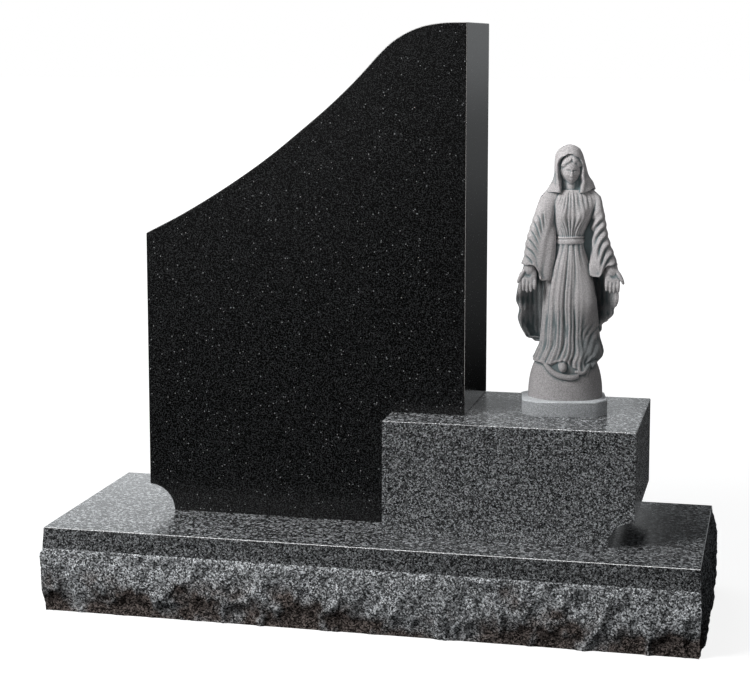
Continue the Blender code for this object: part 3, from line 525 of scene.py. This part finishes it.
def sleeve(q, side):
    """The mantle over one arm: from the shoulder to a hem that hangs open over the hand."""
    s, a = grid(70 * q, 120 * q, 0, 1)
    if side < 0:
        x_in = [(49, 6.3), (51.5, 4.4), (55, 3.9), (63, 3.5), (72, 4.0), (78, 3.4), (83, 1.2)]
        x_out = [(49, 16.9), (55, 16.5), (59, 15.5), (62.4, 15.1), (66, 14.3), (69.7, 13.2), (73.4, 12.0),
                 (77, 10.8), (80.8, 9.2), (83, 7.2)]
        tip, period = 49.7, 3.1
    else:
        x_in = [(49, 10.6), (52.6, 8.4), (57.5, 9.0), (62.4, 9.7), (66, 9.9), (70, 9.6), (76, 9.9),
                (80, 9.6), (83, 7.4)]
        x_out = [(49, 20.0), (55, 19.1), (59, 18.0), (62.4, 16.7), (66, 15.6), (69.7, 14.9), (73.4, 14.3),
                 (77, 13.5), (80.8, 12.4), (83, 10.2)]
        tip, period = 51.2, 3.3
    across = side * np.sin(a)
    hem = tip + (55.6 - tip) * step(-0.42, 0.34, across) + 2.6 * step(-0.74, -1.0, across)
    z = hem + (83.0 - hem) * s
    x_in, x_out = curve(z, x_in), curve(z, x_out)
    cx, half = (x_in + x_out) / 2, (x_out - x_in) / 2
    depth = curve(z, [(49, 3.2), (56, 3.9), (62, 4.3), (69, 4.3), (75, 4.1), (80, 3.4), (83, 2.0)])
    cy = curve(z, [(49, -2.6), (56, -1.9), (62, -1.2), (69, -0.4), (75, 0.0), (83, 0.6)])
    inward = half * (1 - across)
    behind = step(0.1, -0.5, np.cos(a))
    # Each fold leaves the outer edge and turns down towards the body.
    bow = 0.14 + (0.13 * step(60, 71, z) if side < 0 else 0.0)
    ridge = ((z + 0.20 * inward + bow * inward ** 2) / period) % 1
    ridge = np.where(ridge < 0.36, ridge / 0.36, (1 - ridge) / 0.64)
    ridge = ridge * ridge * (3 - 2 * ridge)
    reach = (5.4, 3.0) if side < 0 else (7.6, 4.6)
    grow = step(77, 71, z) * step(*reach, inward) * (1 - 0.5 * behind)
    grow = grow * (0.30 + 0.70 * step(0.0, 1.7, inward))
    out = 1.0 * (ridge - 0.5) * grow
    # Long soft falls run down the inner panel.
    out += 0.17 * np.sin(inward * 1.7 + 0.06 * z) * step(4.5, 7.5, inward) * step(82, 72, z) * (np.cos(a) > 0)
    out += 0.35 * step(0.05, 0.0, s)
    pts = place(a, half, depth, side * cx, cy, z, 2.6, out)
    # Inside the hem the cloth turns up again, so the sleeve is open below.
    middle = np.stack([side * cx[0], cy[0], z[0]], -1)
    inside = []
    for u in np.linspace(0.12, 1, 9):
        drawn_in = (middle - pts[0]) * [1, 1, 0] * (0.42 * min(1, 3 * u))
        inside.append(pts[0] + drawn_in + [0, 0, 2.4 * u])
    return lofted(np.concatenate([np.stack(inside[::-1]), pts]))


def cloak(q):
    """The mantle's long back: ovals from a wavy hem to the shoulders, scooped hollow behind the hands."""
    s, a = grid(70 * q, 150 * q, 0, 1)
    side = np.sin(a)
    back = np.cos(a) < 0
    hem = np.where(side < 0, 25.0, 26.5) + 3.2 * step(0.72, 1.0, np.abs(side))
    hem = hem + 0.7 * step(0.3, -0.8, np.cos(a)) + 0.4 * np.sin(8 * side)
    z = hem + (82.0 - hem) * s
    x_left = curve(z, [(24, 9.4), (25.6, 11.4), (27.2, 13.4), (29.4, 14.9), (32, 16.3), (35, 17.2),
                       (38.6, 16.8), (41, 17.9), (45, 17.7), (50, 16.6), (58, 14.6), (66, 12.8),
                       (75, 10.2), (82, 7.0)])
    x_right = curve(z, [(24, 10.0), (28, 12.6), (31, 13.6), (33, 13.9), (34.6, 16.2), (36.2, 17.8),
                        (38.5, 18.2), (40.5, 19.4), (46, 19.6), (50, 18.6), (58, 16.4), (66, 14.2),
                        (75, 12.2), (82, 10.0)])
    cx, half = (x_right - x_left) / 2, (x_right + x_left) / 2
    rear = curve(z, [(23, 7.6), (30, 7.8), (40, 7.4), (55, 6.6), (68, 6.0), (76, 5.4), (82, 4.2)])
    phase = a / TAU * 28 + 0.25 * np.sin(0.13 * z + 3 * a)
    fold = (0.15 + 0.75 * step(76, 30, z)) * (pleat(phase, 1.6) - 0.55)
    pts = place(a, half, rear, cx, 0.6, z, 2.4, fold)
    # The front is scooped out, so the hands stand before a dark hollow with its edge curled forward.
    u = np.clip(np.abs(pts[..., 0] - cx) / half, 0, 1)
    lip = 0.9 + 0.7 * np.sin(0.75 * z + 1.2 * np.sign(side))
    low = step(36, 27, z)
    reeds = 0.22 * np.sin(3.4 * pts[..., 0] + 0.1 * z) * step(57, 49, z)
    scoop = 4.6 * step(1.0, 0.62 + 0.30 * low, u) * step(57, 49, z) + reeds
    front = 0.6 - lip * step(0.72, 0.95, u) * (1 - 0.9 * low) + scoop - 0.8
    # It never goes deeper than a wall's thickness from the back.
    deepest = 0.6 + (rear - 1.4 - 1.4 * low) * (1 - np.clip(1.12 * u, 0, 1) ** 2.4) ** (1 / 2.4)
    front = np.minimum(front, deepest)
    pts[..., 1] = np.where(back, pts[..., 1], front)
    return lofted(pts)


def veil(q):
    """The hood: its front edge is a line of the grid, and within it the surface turns in behind the face."""
    rows, opening, rest = 75 * q, 30 * q, 140 * q
    s = np.linspace(0, 1, rows)[:, None]
    low = 83.0
    z = low + (100.0 - low) * (1 - (1 - s) ** 1.7)
    left = curve(z, [(80, 0.40), (84, 0.50), (88, 0.84), (91, 0.90), (93.5, 0.84), (95.3, 0.58),
                     (96.2, 0.25), (96.6, 0.12)])
    right = curve(z, [(80, 0.15), (84, 0.32), (88, 0.56), (91, 0.74), (93.5, 0.76), (95.3, 0.58),
                      (96.2, 0.25), (96.6, 0.12)])
    inner, outer = np.linspace(0, 1, opening)[None, :], np.linspace(0, 1, rest + 2)[None, 1:-1]
    a = np.concatenate([-left + (left + right) * inner, right + (TAU - left - right) * outer], 1)
    a = np.where(a > np.pi, a - TAU, a)
    within = np.concatenate([np.ones_like(inner), np.zeros_like(outer)], 1) * step(96.7, 96.3, z)
    hem = np.where(a > 0, 83.9, 82.4) - 1.6 * step(1.3, 2.8, np.abs(a)) - 1.6 * step(1.2, 0.35, a) * (a > 0)
    hem = hem + 0.4 * np.sin(9 * a + 0.5) * step(1.2, 1.8, np.abs(a))
    z = z + (hem - low) * step(90, 83, z)
    x_left = curve(z, [(80, 8.2), (82.6, 7.5), (84.4, 6.4), (86.3, 5.3), (88, 4.75), (91.8, 4.6), (94, 4.5),
                       (97.3, 3.7), (98.7, 2.3), (99.6, 0.4), (100, -0.9)])
    x_right = curve(z, [(80, 12.3), (82.6, 11.3), (84.4, 10.4), (86.3, 9.6), (88, 8.4), (91.8, 7.2),
                        (94, 6.6), (97.3, 5.4), (98.7, 4.4), (99.6, 2.6), (100, 1.3)])
    cx, half = (x_right - x_left) / 2, (x_right + x_left) / 2
    depth = curve(z, [(80, 6.0), (83, 5.4), (85, 5.3), (87, 5.5), (90, 5.9), (94, 6.1), (97, 5.3),
                      (98.7, 3.7), (99.6, 2.0), (100, 0.4)])
    fold = pleat(a / TAU * 24 + 0.2 * np.sin(0.5 * z), 1.6) - 0.5
    out = 0.26 * step(94, 85, z) * fold * step(0.9, 1.3, np.abs(a))
    edge = np.where(a < 0, left, right)
    out = out + 0.34 * bell(np.abs(a) - edge, 0.10, 0.09) * step(98, 96, z)
    # Inside the opening the surface sits behind the face, tucked under both edges.
    across = 2 * np.concatenate([inner, 0 * outer], 1) - 1
    tuck = a + 0.42 * np.where(within > 0.5, across, 0) * step(97, 94, z)
    hood = place(a, half, depth, cx, 0.7, z, 2.15, out)
    back = place(tuck, 0.50 * half, 0.42 * depth, 0.6 * cx + 0.6, 0.9, z)
    return lofted(hood * (1 - within[..., None]) + back * within[..., None])


def head(q):
    """Skull, face and hair as one loft about the head's own axis, bowed forward."""
    s, a = grid(90 * q, 120 * q, -1, 1)
    wide, long, deep = 3.5, 5.9, 4.3
    lat = s * np.pi / 2 * 0.995
    x = wide * np.cos(lat) * np.sin(a)
    y = -deep * np.cos(lat) * np.cos(a)
    z = long * np.sin(lat)
    u, v = x / wide, z / long          # across and up the face, -1 to 1
    n = np.stack([x / wide ** 2, y / deep ** 2, z / long ** 2], -1)
    n /= np.linalg.norm(n, axis=-1, keepdims=True)
    # The jaw narrows to the chin.
    jaw = step(-0.05, -0.95, v)
    x = x * (1 - 0.20 * jaw)
    y = y * (1 - 0.08 * jaw * (y < 0)) + 0.2 * jaw
    w = np.abs(u)
    f = 0.50 * bell(u, 0, 0.28) * bell(v, -0.74, 0.15)                        # chin
    f += 0.22 * bell(w, 0.52, 0.24) * bell(v, -0.20, 0.24)                    # cheeks
    f -= 0.66 * bell(w, 0.40, 0.20) * bell(v, 0.05, 0.11)                     # eye sockets
    f -= 0.22 * bell(w, 0.17, 0.07) * bell(v, 0.08, 0.09)                     # inner corners
    f += 0.50 * bell(w, 0.40, 0.145) * bell(v, 0.015, 0.060)                  # lowered lids
    f -= 0.20 * bell(w, 0.40, 0.16) * bell(v, -0.055, 0.020)                  # lash line
    f -= 0.14 * bell(w, 0.40, 0.16) * bell(v, 0.088, 0.020)                   # fold over the lid
    f += 0.18 * bell(w, 0.38, 0.24) * bell(v, 0.165 - 0.05 * (w - 0.38), 0.05)  # brows
    nose = step(0.24, -0.22, v) * step(-0.335, -0.265, v)
    f += (0.22 + 0.80 * step(0.16, -0.24, v)) * bell(u, 0, 0.105 + 0.05 * step(0.0, -0.27, v)) * nose
    f += 0.28 * bell(w, 0.145, 0.060) * bell(v, -0.255, 0.042)                # nostril wings
    f += 0.30 * bell(u, 0, 0.36) * bell(v, -0.48, 0.13)                       # the mouth's own fullness
    f += 0.34 * bell(u, 0, 0.24) * bell(v, -0.425, 0.034)                     # upper lip
    f += 0.42 * bell(u, 0, 0.19) * bell(v, -0.505, 0.040)                     # lower lip
    f -= 0.42 * bell(u, 0, 0.25) * bell(v, -0.462, 0.018)                     # between the lips
    f -= 0.20 * bell(u, 0, 0.20) * bell(v, -0.60, 0.045)                      # under the lip
    # Hair: parted over the brow and swept down beside the temples in waves.
    line = 0.70 - 0.60 * w ** 1.25 + 0.03 * np.cos(14 * w)
    beside = step(0.36, 0.22, np.cos(a))
    over = step(line - 0.035, line + 0.035, v)
    hair = np.maximum(over, beside)
    roll = bell(v - line, 0.17, 0.16) * (1 - beside)
    strand = pleat((v - line) * 4.6 + 0.12 * np.sin(7 * w), 1.5)
    lock = pleat(np.abs(a) * 4.2 + 0.10 * np.sin(9 * v), 1.5)
    strand = strand * (1 - beside) + lock * beside
    part = bell(a, 0, 0.055) * step(0.45, 0.62, v)
    tress = (0.42 + 0.30 * roll + 0.20 * (strand - 0.5)) * (1 - 0.75 * part)
    forward = n * [0.3, 1.0, 0.3]
    forward /= np.linalg.norm(forward, axis=-1, keepdims=True) + 1e-9
    look = step(0.1, 0.45, np.cos(a)) * (1 - hair)
    pts = np.stack([x, y, z], -1) + n * (hair * tress)[..., None] + forward * (f * look)[..., None]
    t = np.radians(13)
    y2 = pts[..., 1] * np.cos(t) - pts[..., 2] * np.sin(t)
    z2 = pts[..., 1] * np.sin(t) + pts[..., 2] * np.cos(t)
    return lofted(np.stack([pts[..., 0] + 1.6, y2 - 0.9, z2 + 90.9], -1))


def tube(q, path, radii, around=20, flat=1.0):
    """A round-ended rod through the path's points, with a radius at each."""
    path, radii = np.array(path, float), np.array(radii, float)
    t = np.arange(len(path), dtype=float)
    s = np.linspace(0, len(path) - 1, 7 * len(path) * q)
    line = np.stack([curve(s, list(zip(t, path[:, k]))) for k in range(3)], -1)
    r = curve(s, list(zip(t, radii)))
    tangent = np.gradient(line, axis=0)
    tangent /= np.linalg.norm(tangent, axis=1, keepdims=True)
    ang = np.linspace(0.08, np.pi / 2, 7)
    start = line[0] - tangent[0] * (r[0] * np.cos(ang))[:, None]
    end = line[-1] + tangent[-1] * (r[-1] * np.cos(ang[::-1]))[:, None]
    line = np.concatenate([start, line[1:-1], end])
    r = np.concatenate([r[0] * np.sin(ang), r[1:-1], r[-1] * np.sin(ang[::-1])])
    tangent = np.concatenate([np.repeat(tangent[:1], 7, 0), tangent[1:-1], np.repeat(tangent[-1:], 7, 0)])
    side = np.cross(tangent, [0.0, -1.0, 0.0])
    side /= np.linalg.norm(side, axis=1, keepdims=True) + 1e-9
    front = np.cross(side, tangent)
    a = (np.arange(around) / around * TAU)[None, :, None]
    ring = side[:, None] * np.cos(a) + front[:, None] * np.sin(a) * flat
    return lofted(line[:, None] + r[:, None, None] * ring)


def hand(q, side):
    """An open hand, palm forward, fingers down, thumb outwards: rods set on a slab rounded like an egg."""
    px, pz = (-13.7, 51.9) if side < 0 else (17.0, 51.6)
    palm = np.array([px, -4.4, pz])
    wrist = [palm + [-0.9 * side, 1.6, 6.0], palm + [-0.3 * side, 1.0, 4.0], palm + [0, 0.5, 1.6]]
    parts = [tube(q, wrist, [2.3, 2.1, 2.3], 28, 0.62)]
    # The palm is a rounded slab with a hollow in the middle.
    s, a = grid(22 * q, 26 * q, -1, 1)
    lat = s * np.pi / 2 * 0.99
    c = np.cos(lat) ** 0.5
    x = (2.85 - 0.15 * np.sin(lat)) * c * np.sin(a)
    y = -1.15 * c * np.cos(a)
    z = 3.2 * np.sin(lat)
    y = np.where(y < 0, y * (1 - 0.50 * bell(x, 0.3 * side, 1.2) * bell(z, -0.2, 1.3)), y)
    t = np.radians(22)
    slab = np.stack([x, y * np.cos(t) + z * np.sin(t), z * np.cos(t) - y * np.sin(t)], -1)
    parts.append(lofted(slab + palm))
    # From the little finger, nearest the body, to the first finger.
    for off, length in [(-2.05, 3.0), (-0.70, 3.7), (0.66, 3.9), (2.00, 3.4)]:
        base = palm + [side * off, -0.95, -2.0]
        mid = base + [side * off * 0.03, -0.85, -length * 0.5]
        end = base + [side * off * 0.04, -0.80, -length]
        parts.append(tube(q, [base + [0, 0.6, 1.1], base, mid, end], [0.68, 0.76, 0.70, 0.55], 14))
    # The thumb leaves the heel of the hand, with a web between it and the palm.
    root = palm + [side * 1.6, 0.1, 1.6]
    thumb = [root + [side * off, out, down] for off, out, down in
             [(0, 0, 0), (1.1, -0.7, -1.6), (1.9, -1.1, -3.0), (2.4, -1.2, -4.2)]]
    web = [palm + [side * 1.2, -0.2, -0.4], palm + [side * 2.3, -0.6, -0.9]]
    parts.append(tube(q, thumb, [0.85, 0.85, 0.68, 0.50], 16))
    parts.append(tube(q, web, [0.75, 0.60], 14))
    return parts


def globe(q):
    """The globe's upper half: ovals that shrink with height as a superellipse does, over a straight foot."""
    s, a = grid(40 * q, 70 * q, -0.14, 1)
    h = np.maximum(s, 0)
    c = (1 - h ** 2.3 * 0.9995) ** (1 / 2.3)
    return lofted(np.stack([0.5 + 13.9 * c * np.sin(a), 0.1 - 10.9 * c * np.cos(a), 5.6 + 21.0 * s], -1))


def on_globe(x, z, lift=0.0):
    """The point of the globe's front at x and height z, lifted off it a little."""
    h = (z - 5.6) / 21.0
    r = (1 - h ** 2.3) ** (1 / 2.3)
    w = (x - 0.5) / 13.9
    d = np.sqrt(max(r * r - w * w, 0.02))
    return [x, 0.1 - 10.9 * d - lift, z]


def snake(q):
    """Three rods laid on the globe: the body under the left foot, its far end at the right, and the head."""
    way = [(-7.6, 19.2), (-6.3, 17.6), (-4.6, 16.1), (-2.4, 15.0), (0.0, 14.5), (2.4, 14.4), (4.3, 14.7)]
    first = tube(q, [on_globe(x, z, 0.3) for x, z in way], [0.8, 0.95, 1.05, 1.1, 1.05, 1.1, 0.8], 18)
    way = [(4.0, 16.4), (6.2, 16.0), (7.8, 17.4), (9.2, 19.4), (11.0, 19.8)]
    second = tube(q, [on_globe(x, z, 0.3) for x, z in way], [0.6, 0.9, 1.0, 1.0, 0.9], 18)
    way = [(8.6, 17.8), (8.2, 16.0), (7.9, 14.6)]
    third = tube(q, [on_globe(x, z, 0.2) for x, z in way], [0.7, 0.55, 0.3], 14)
    return [first, second, third]


def foot(q, x, z, turn):
    """A foot's fore part, coming out from under the hem: one rod that ends round on the globe."""
    p = on_globe(x, z, 0)
    back = [x - turn * 0.4, p[1] + 4.5, z + 1.6]
    instep, toe = [x - turn * 0.1, p[1] + 1.2, z + 0.9], [x, p[1] - 0.9, z + 0.1]
    return tube(q, [back, instep, toe], [1.9, 1.8, 1.45], 24)


# Each form is made with twice the rings and points that its function starts from.
q = 2
made = [robe(q), bodice(q), belt(q), sleeve(q, 1), sleeve(q, -1), cloak(q), veil(q), head(q), globe(q)]
made += [foot(q, -1.0, 17.6, 1), foot(q, 10.2, 18.6, -1)]
made.append(tube(q, [(1.5, 0.6, 79), (1.5, 0.2, 84), (1.6, -0.2, 88)], [2.9, 2.2, 2.2], 40))
made += hand(q, 1) + hand(q, -1) + snake(q)
unit = (STATUE_HEIGHT - PLINTH_HEIGHT) / (100 - FOOT)
points, faces, count = [], [], 0
for form, quads, caps in made:
    points.append((form - [0, 0, FOOT]) * unit)
    faces += (quads + count).tolist() + (caps + count).tolist()
    count += len(form)

# One skin is drawn over all the overlapping forms, then thinned where it is flat.
figure = set_mesh("figure_forms", np.concatenate(points), faces, [])
skin = figure.modifiers.new("skin", "REMESH")
skin.mode = "VOXEL"
skin.voxel_size = SKIN
skin.use_smooth_shade = True
ease = figure.modifiers.new("ease", "SMOOTH")
ease.factor = 0.5
ease.iterations = 3
ready = figure.evaluated_get(bpy.context.evaluated_depsgraph_get())
dense = sum(len(face.vertices) - 2 for face in ready.data.polygons)
thin = figure.modifiers.new("thin", "DECIMATE")
thin.ratio = SKIN_TRIANGLES / dense
carved = bpy.data.meshes.new_from_object(figure.evaluated_get(bpy.context.evaluated_depsgraph_get()))
bpy.data.objects.remove(figure)

# The plinth: a rectangle with cut corners, carried up and drawn in a little over its upper edge.
corner, eased = 0.32 * PLINTH_WIDTH / 2, PLINTH_ARRIS
rings = []
for z, inset in [(-PLINTH_HEIGHT, 0), (-eased, 0), (-0.3 * eased, 0.3 * eased), (0, eased)]:
    w, d, k = PLINTH_WIDTH / 2 - inset, PLINTH_DEPTH / 2 - inset, corner - 0.4 * inset
    rings.append([(w, -d + k, z), (w, d - k, z), (w - k, d, z), (k - w, d, z),
                  (-w, d - k, z), (-w, k - d, z), (k - w, -d, z), (w - k, -d, z)])
verts, quads, caps = lofted(np.array(rings))

# Figure and plinth together, turned a little and set in the middle of what the tablet leaves of the block.
n = len(carved.vertices)
xyz = np.empty(n * 3, np.float32)
carved.vertices.foreach_get("co", xyz)
xyz = xyz.reshape(-1, 3).astype(float)
polys = [list(face.vertices) for face in carved.polygons]
points = np.concatenate([xyz, verts])
local = points / unit + [0, 0, FOOT]
polys += (quads + n).tolist() + (caps + n).tolist()
turn = np.radians(STATUE_TURN)
x, y, z = points.T
points = np.stack([STATUE_X + x * np.cos(turn) - y * np.sin(turn),
                   STATUE_Y + x * np.sin(turn) + y * np.cos(turn),
                   BLOCK_TOP + JOINT + PLINTH_HEIGHT + z], -1)


def carved_stone_painted_shade(name):
    """Fine grey stone, small crystals and a soft cloud; painted shade in hollows, painted light from above.
    """
    stone = bpy.data.materials.new(name)
    nodes, links, shader = opened(stone)
    where = nodes.new("ShaderNodeTexCoord")
    fine = noise(nodes, links, where, 420, 3)
    cloud = noise(nodes, links, where, 16, 4)
    grain = nodes.new("ShaderNodeValToRGB")
    grain.color_ramp.elements[0].position = 0.33
    grain.color_ramp.elements[0].color = (0.405, 0.388, 0.391, 1)
    grain.color_ramp.elements[1].position = 0.66
    grain.color_ramp.elements[1].color = (0.700, 0.672, 0.676, 1)
    links.new(fine.outputs[0], grain.inputs[0])
    drift = mixed(nodes, links, 0.35, grain.outputs[0], cloud.outputs[0], blend="MULTIPLY")
    hollow = nodes.new("ShaderNodeAttribute")
    hollow.attribute_name = "hollow"
    # Painted shade: the hollow layer mixes in a dark, cool shade colour.
    painted_recess_shade = mixed(nodes, links, hollow.outputs["Fac"], drift, (0.100, 0.148, 0.157, 1))
    # Painted light from above: darker towards the foot, lighter towards the head.
    axes = nodes.new("ShaderNodeSeparateXYZ")
    links.new(where.outputs["Object"], axes.inputs[0])
    painted_light_from_above = ranged(nodes, links, axes.outputs["Z"], 0.50, 1.10, 0.70, 1.34)
    links.new(mixed(nodes, links, 1, painted_recess_shade, painted_light_from_above, blend="MULTIPLY"), shader.inputs["Base Color"])
    shader.inputs["Roughness"].default_value = 0.78
    shader.inputs["IOR"].default_value = 1.5
    shader.inputs["Specular IOR Level"].default_value = 0.08
    pitted(nodes, links, shader, fine, 0.35, 0.0012)
    return stone


carved_finish = carved_stone_painted_shade("carved_grey_stone")
sawn_side_painted_shade = crystals("sawn_side_painted_shade_stone", greys(0.21, 0.265, 0.31, 0.36, 0.43), 0.0016, 0.75)
plinth_top_painted_light = crystals("plinth_top_painted_light_stone", greys(0.46, 0.54, 0.60, 0.66, 0.74), 0.0016, 0.75)
for finish in (sawn_side_painted_shade, plinth_top_painted_light):
    finish.node_tree.nodes["Principled BSDF"].inputs["Specular IOR Level"].default_value = 0.10
statue = set_mesh("statue_stone", points, polys, [carved_finish, sawn_side_painted_shade, plinth_top_painted_light])

# The plinth's sides are sawn, and take a darker copy of its stone: painted shade.
# Its faces that look up, its upper edge and top, take a lighter copy: painted light.
finish_of = np.zeros(len(polys), np.int32)
for number in range(len(polys) - len(quads) - len(caps), len(polys)):
    finish_of[number] = 2 if statue.data.polygons[number].normal.z > 0.3 else 1
statue.data.polygons.foreach_set("material_index", finish_of)
statue.data.set_sharp_from_angle(angle=np.radians(60))

# How hollow each point lies: how far its surroundings, averaged over and over, stand out along its normal.
edges = np.empty(len(statue.data.edges) * 2, np.int32)
statue.data.edges.foreach_get("vertices", edges)
a, b = edges.reshape(-1, 2).T
normal = np.empty(len(points) * 3, np.float32)
statue.data.vertices.foreach_get("normal", normal)
normal = normal.reshape(-1, 3)
count = np.bincount(a, minlength=len(points)) + np.bincount(b, minlength=len(points))
smooth = points.copy()
for _ in range(24):
    total = np.empty_like(smooth)
    for k in range(3):
        total[:, k] = np.bincount(a, smooth[b, k], len(points)) + np.bincount(b, smooth[a, k], len(points))
    smooth = 0.3 * smooth + 0.7 * total / count[:, None]
depth_in = ((smooth - points) * normal).sum(1)
# Painted shade: the deeper a point lies, the more it takes of the stone's dark, cool shade colour.
shade = np.clip(depth_in / 0.0010, 0, 1) ** 0.8 * 0.85

# The cloak's inside gets painted shade as well: behind the hands, on what faces forward.
across, back, up = local.T
is_figure = np.arange(len(points)) < n
inside = step(-1.6, 0.6, back) * step(0.0, 0.35, -normal[:, 1]) * step(54, 50, up) * step(19, 21, up)
inside *= step(6.5, 8.5, np.abs(across - 1)) * is_figure
shade = np.maximum(shade, 0.45 * inside)

# Under the bent knee the robe's right side gets painted shade too, from an edge that slants down to the hem.
slant = across - 3.4 - 0.35 * (27.5 - up)
under_knee = step(-0.4, 0.8, slant) * step(29.5, 27.0, up) * step(15.5, 18.0, up)
under_knee *= step(0.2, 0.5, -normal[:, 1]) * is_figure
shade = np.maximum(shade, 0.50 * under_knee)
# All this painted shade goes on the stone as its hollow layer.
hollow_shade_layer = statue.data.attributes.new("hollow", "FLOAT", "POINT")
hollow_shade_layer.data.foreach_set("value", shade.astype(np.float32))
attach(statue, "root")
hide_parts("statue")


# Ground, light and camera.
# A plain pale floor that neither lights nor mirrors in the stone, a soft key from the upper left, two panels
# that only polished stone mirrors, small fills that light one piece each, and a sky that is bright behind on
# the left and dim elsewhere.
def pale_paint(name):
    """White floor paint, lit a little from within so that it stays white far away and keeps a soft shadow."""
    paint = bpy.data.materials.new(name)
    nodes, links, shader = opened(paint)
    shader.inputs["Base Color"].default_value = (0.30, 0.30, 0.30, 1)
    shader.inputs["Roughness"].default_value = 1.0
    shader.inputs["Specular IOR Level"].default_value = 0.0
    shader.inputs["Emission Color"].default_value = (1, 1, 1, 1)
    where = nodes.new("ShaderNodeTexCoord")
    far = nodes.new("ShaderNodeVectorMath")
    far.operation = "LENGTH"
    links.new(where.outputs["Object"], far.inputs[0])
    glow = ranged(nodes, links, far.outputs["Value"], 1.2, 5.0, 0.88, 1.05, "LINEAR")
    links.new(glow, shader.inputs["Emission Strength"])
    return paint


corners = np.array([(-1, -1, 0), (1, -1, 0), (1, 1, 0), (-1, 1, 0)]) * 60.0
floor = set_mesh("ground", corners, [[0, 1, 2, 3]], [pale_paint("pale_floor")])
floor.visible_glossy = False
floor.visible_diffuse = False


def panel(name, place_at, aim, size, watts, glossy_only=False, on=()):
    """A soft square light at one point, facing another. It lights everything, or only the pieces in on."""
    light = bpy.data.lights.new(name, "AREA")
    light.shape = "SQUARE"
    light.size = size
    light.energy = watts
    lamp = bpy.data.objects.new(name, light)
    lamp.location = place_at
    lamp.rotation_euler = (Vector(aim) - Vector(place_at)).to_track_quat("-Z", "Y").to_euler()
    lamp.visible_diffuse = not glossy_only
    if on:
        lit = bpy.data.collections.new(name + "_lights")
        for piece in on:
            lit.objects.link(piece)
        lamp.light_linking.receiver_collection = lit
    bpy.context.scene.collection.objects.link(lamp)
    return lamp


panel("key", (-2.5, -2.6, 3.3), (0.0, 0.0, 0.5), 1.6, 185)
panel("overhead_sheen", (-1.2, -0.8, 4.2), (-1.2, -0.8, 0.0), 5.0, 1100, True)
panel("right_sheen", (3.3, -1.0, 0.5), (0.2, 0.0, 0.7), 2.4, 240, True, (tablet,))
panel("side_fill", (2.0, -0.3, 1.4), (0.61, 0.05, 0.39), 0.6, 16, on=(block,))
panel("statue_fill", (2.0, -0.3, 1.4), (0.42, 0.05, 0.80), 0.6, 4, on=(statue,))
panel("front_fill", (-0.2, -2.4, 0.5), (0.42, 0.05, 0.80), 0.8, 5.5, False, (statue,))

world = bpy.data.worlds.new("sky")
bpy.context.scene.world = world
world.use_nodes = True
nodes, links = world.node_tree.nodes, world.node_tree.links
look = nodes.new("ShaderNodeTexCoord")
axes = nodes.new("ShaderNodeSeparateXYZ")
links.new(look.outputs["Generated"], axes.inputs[0])


def graded(source, stops):
    """A grey ramp over a direction's share, from -1 to 1."""
    share = maths(nodes, links, "MULTIPLY_ADD", source, 0.5, 0.5)
    ramp = nodes.new("ShaderNodeValToRGB")
    ramp.color_ramp.interpolation = "EASE"
    ends = ramp.color_ramp.elements
    ends[0].position, ends[1].position = 0.5 + 0.5 * stops[0][0], 0.5 + 0.5 * stops[-1][0]
    for at, value in stops[1:-1]:
        ends.new(0.5 + 0.5 * at)
    for stop, (at, value) in zip(ends, stops):
        stop.color = (value, value, value, 1)
    links.new(share, ramp.inputs[0])
    return ramp.outputs[0]


upward = graded(axes.outputs["Z"], [(-0.20, 0.0), (-0.12, 0.08), (-0.05, 0.22), (0.0, 0.50), (0.10, 0.92),
                                    (0.20, 1.0), (0.225, 0.55), (0.25, 0.27), (0.5, 0.32), (0.9, 0.30)])
sideways = graded(axes.outputs["X"], [(-0.9, 1.6), (-0.28, 1.6), (-0.17, 0.30), (-0.125, 0.28),
                                      (-0.085, 0.72), (-0.06, 0.12), (0.02, 0.12), (0.24, 0.50),
                                      (0.40, 0.20), (0.9, 0.10)])
depthways = graded(axes.outputs["Y"], [(-0.9, 0.30), (-0.3, 0.35), (0.3, 0.9), (0.9, 1.0)])
sky = upward
for factor in (sideways, depthways):
    sky = mixed(nodes, links, 1, sky, factor, blend="MULTIPLY")
strong = nodes.new("ShaderNodeVectorMath")
strong.operation = "MULTIPLY"
strong.inputs[1].default_value = (1.62, 1.68, 1.72)
links.new(sky, strong.inputs[0])
path = nodes.new("ShaderNodeLightPath")
seen = mixed(nodes, links, path.outputs["Is Camera Ray"], strong.outputs[0], (1, 1, 1, 1))
links.new(seen, nodes["Background"].inputs["Color"])
nodes["Background"].inputs["Strength"].default_value = 1.0

bpy.context.scene.view_settings.view_transform = "Standard"
camera = bpy.data.cameras.new("camera")
camera.lens = 1791.9 / 750 * 36
camera.sensor_width = 36
camera.shift_y = -0.08
eye = bpy.data.objects.new("camera", camera)
eye.location = (0.926, -4.1044, 1.3333)
eye.rotation_euler = (np.pi / 2 - 0.1307, 0, 0.2279)
bpy.context.scene.collection.objects.link(eye)
bpy.context.scene.camera = eye
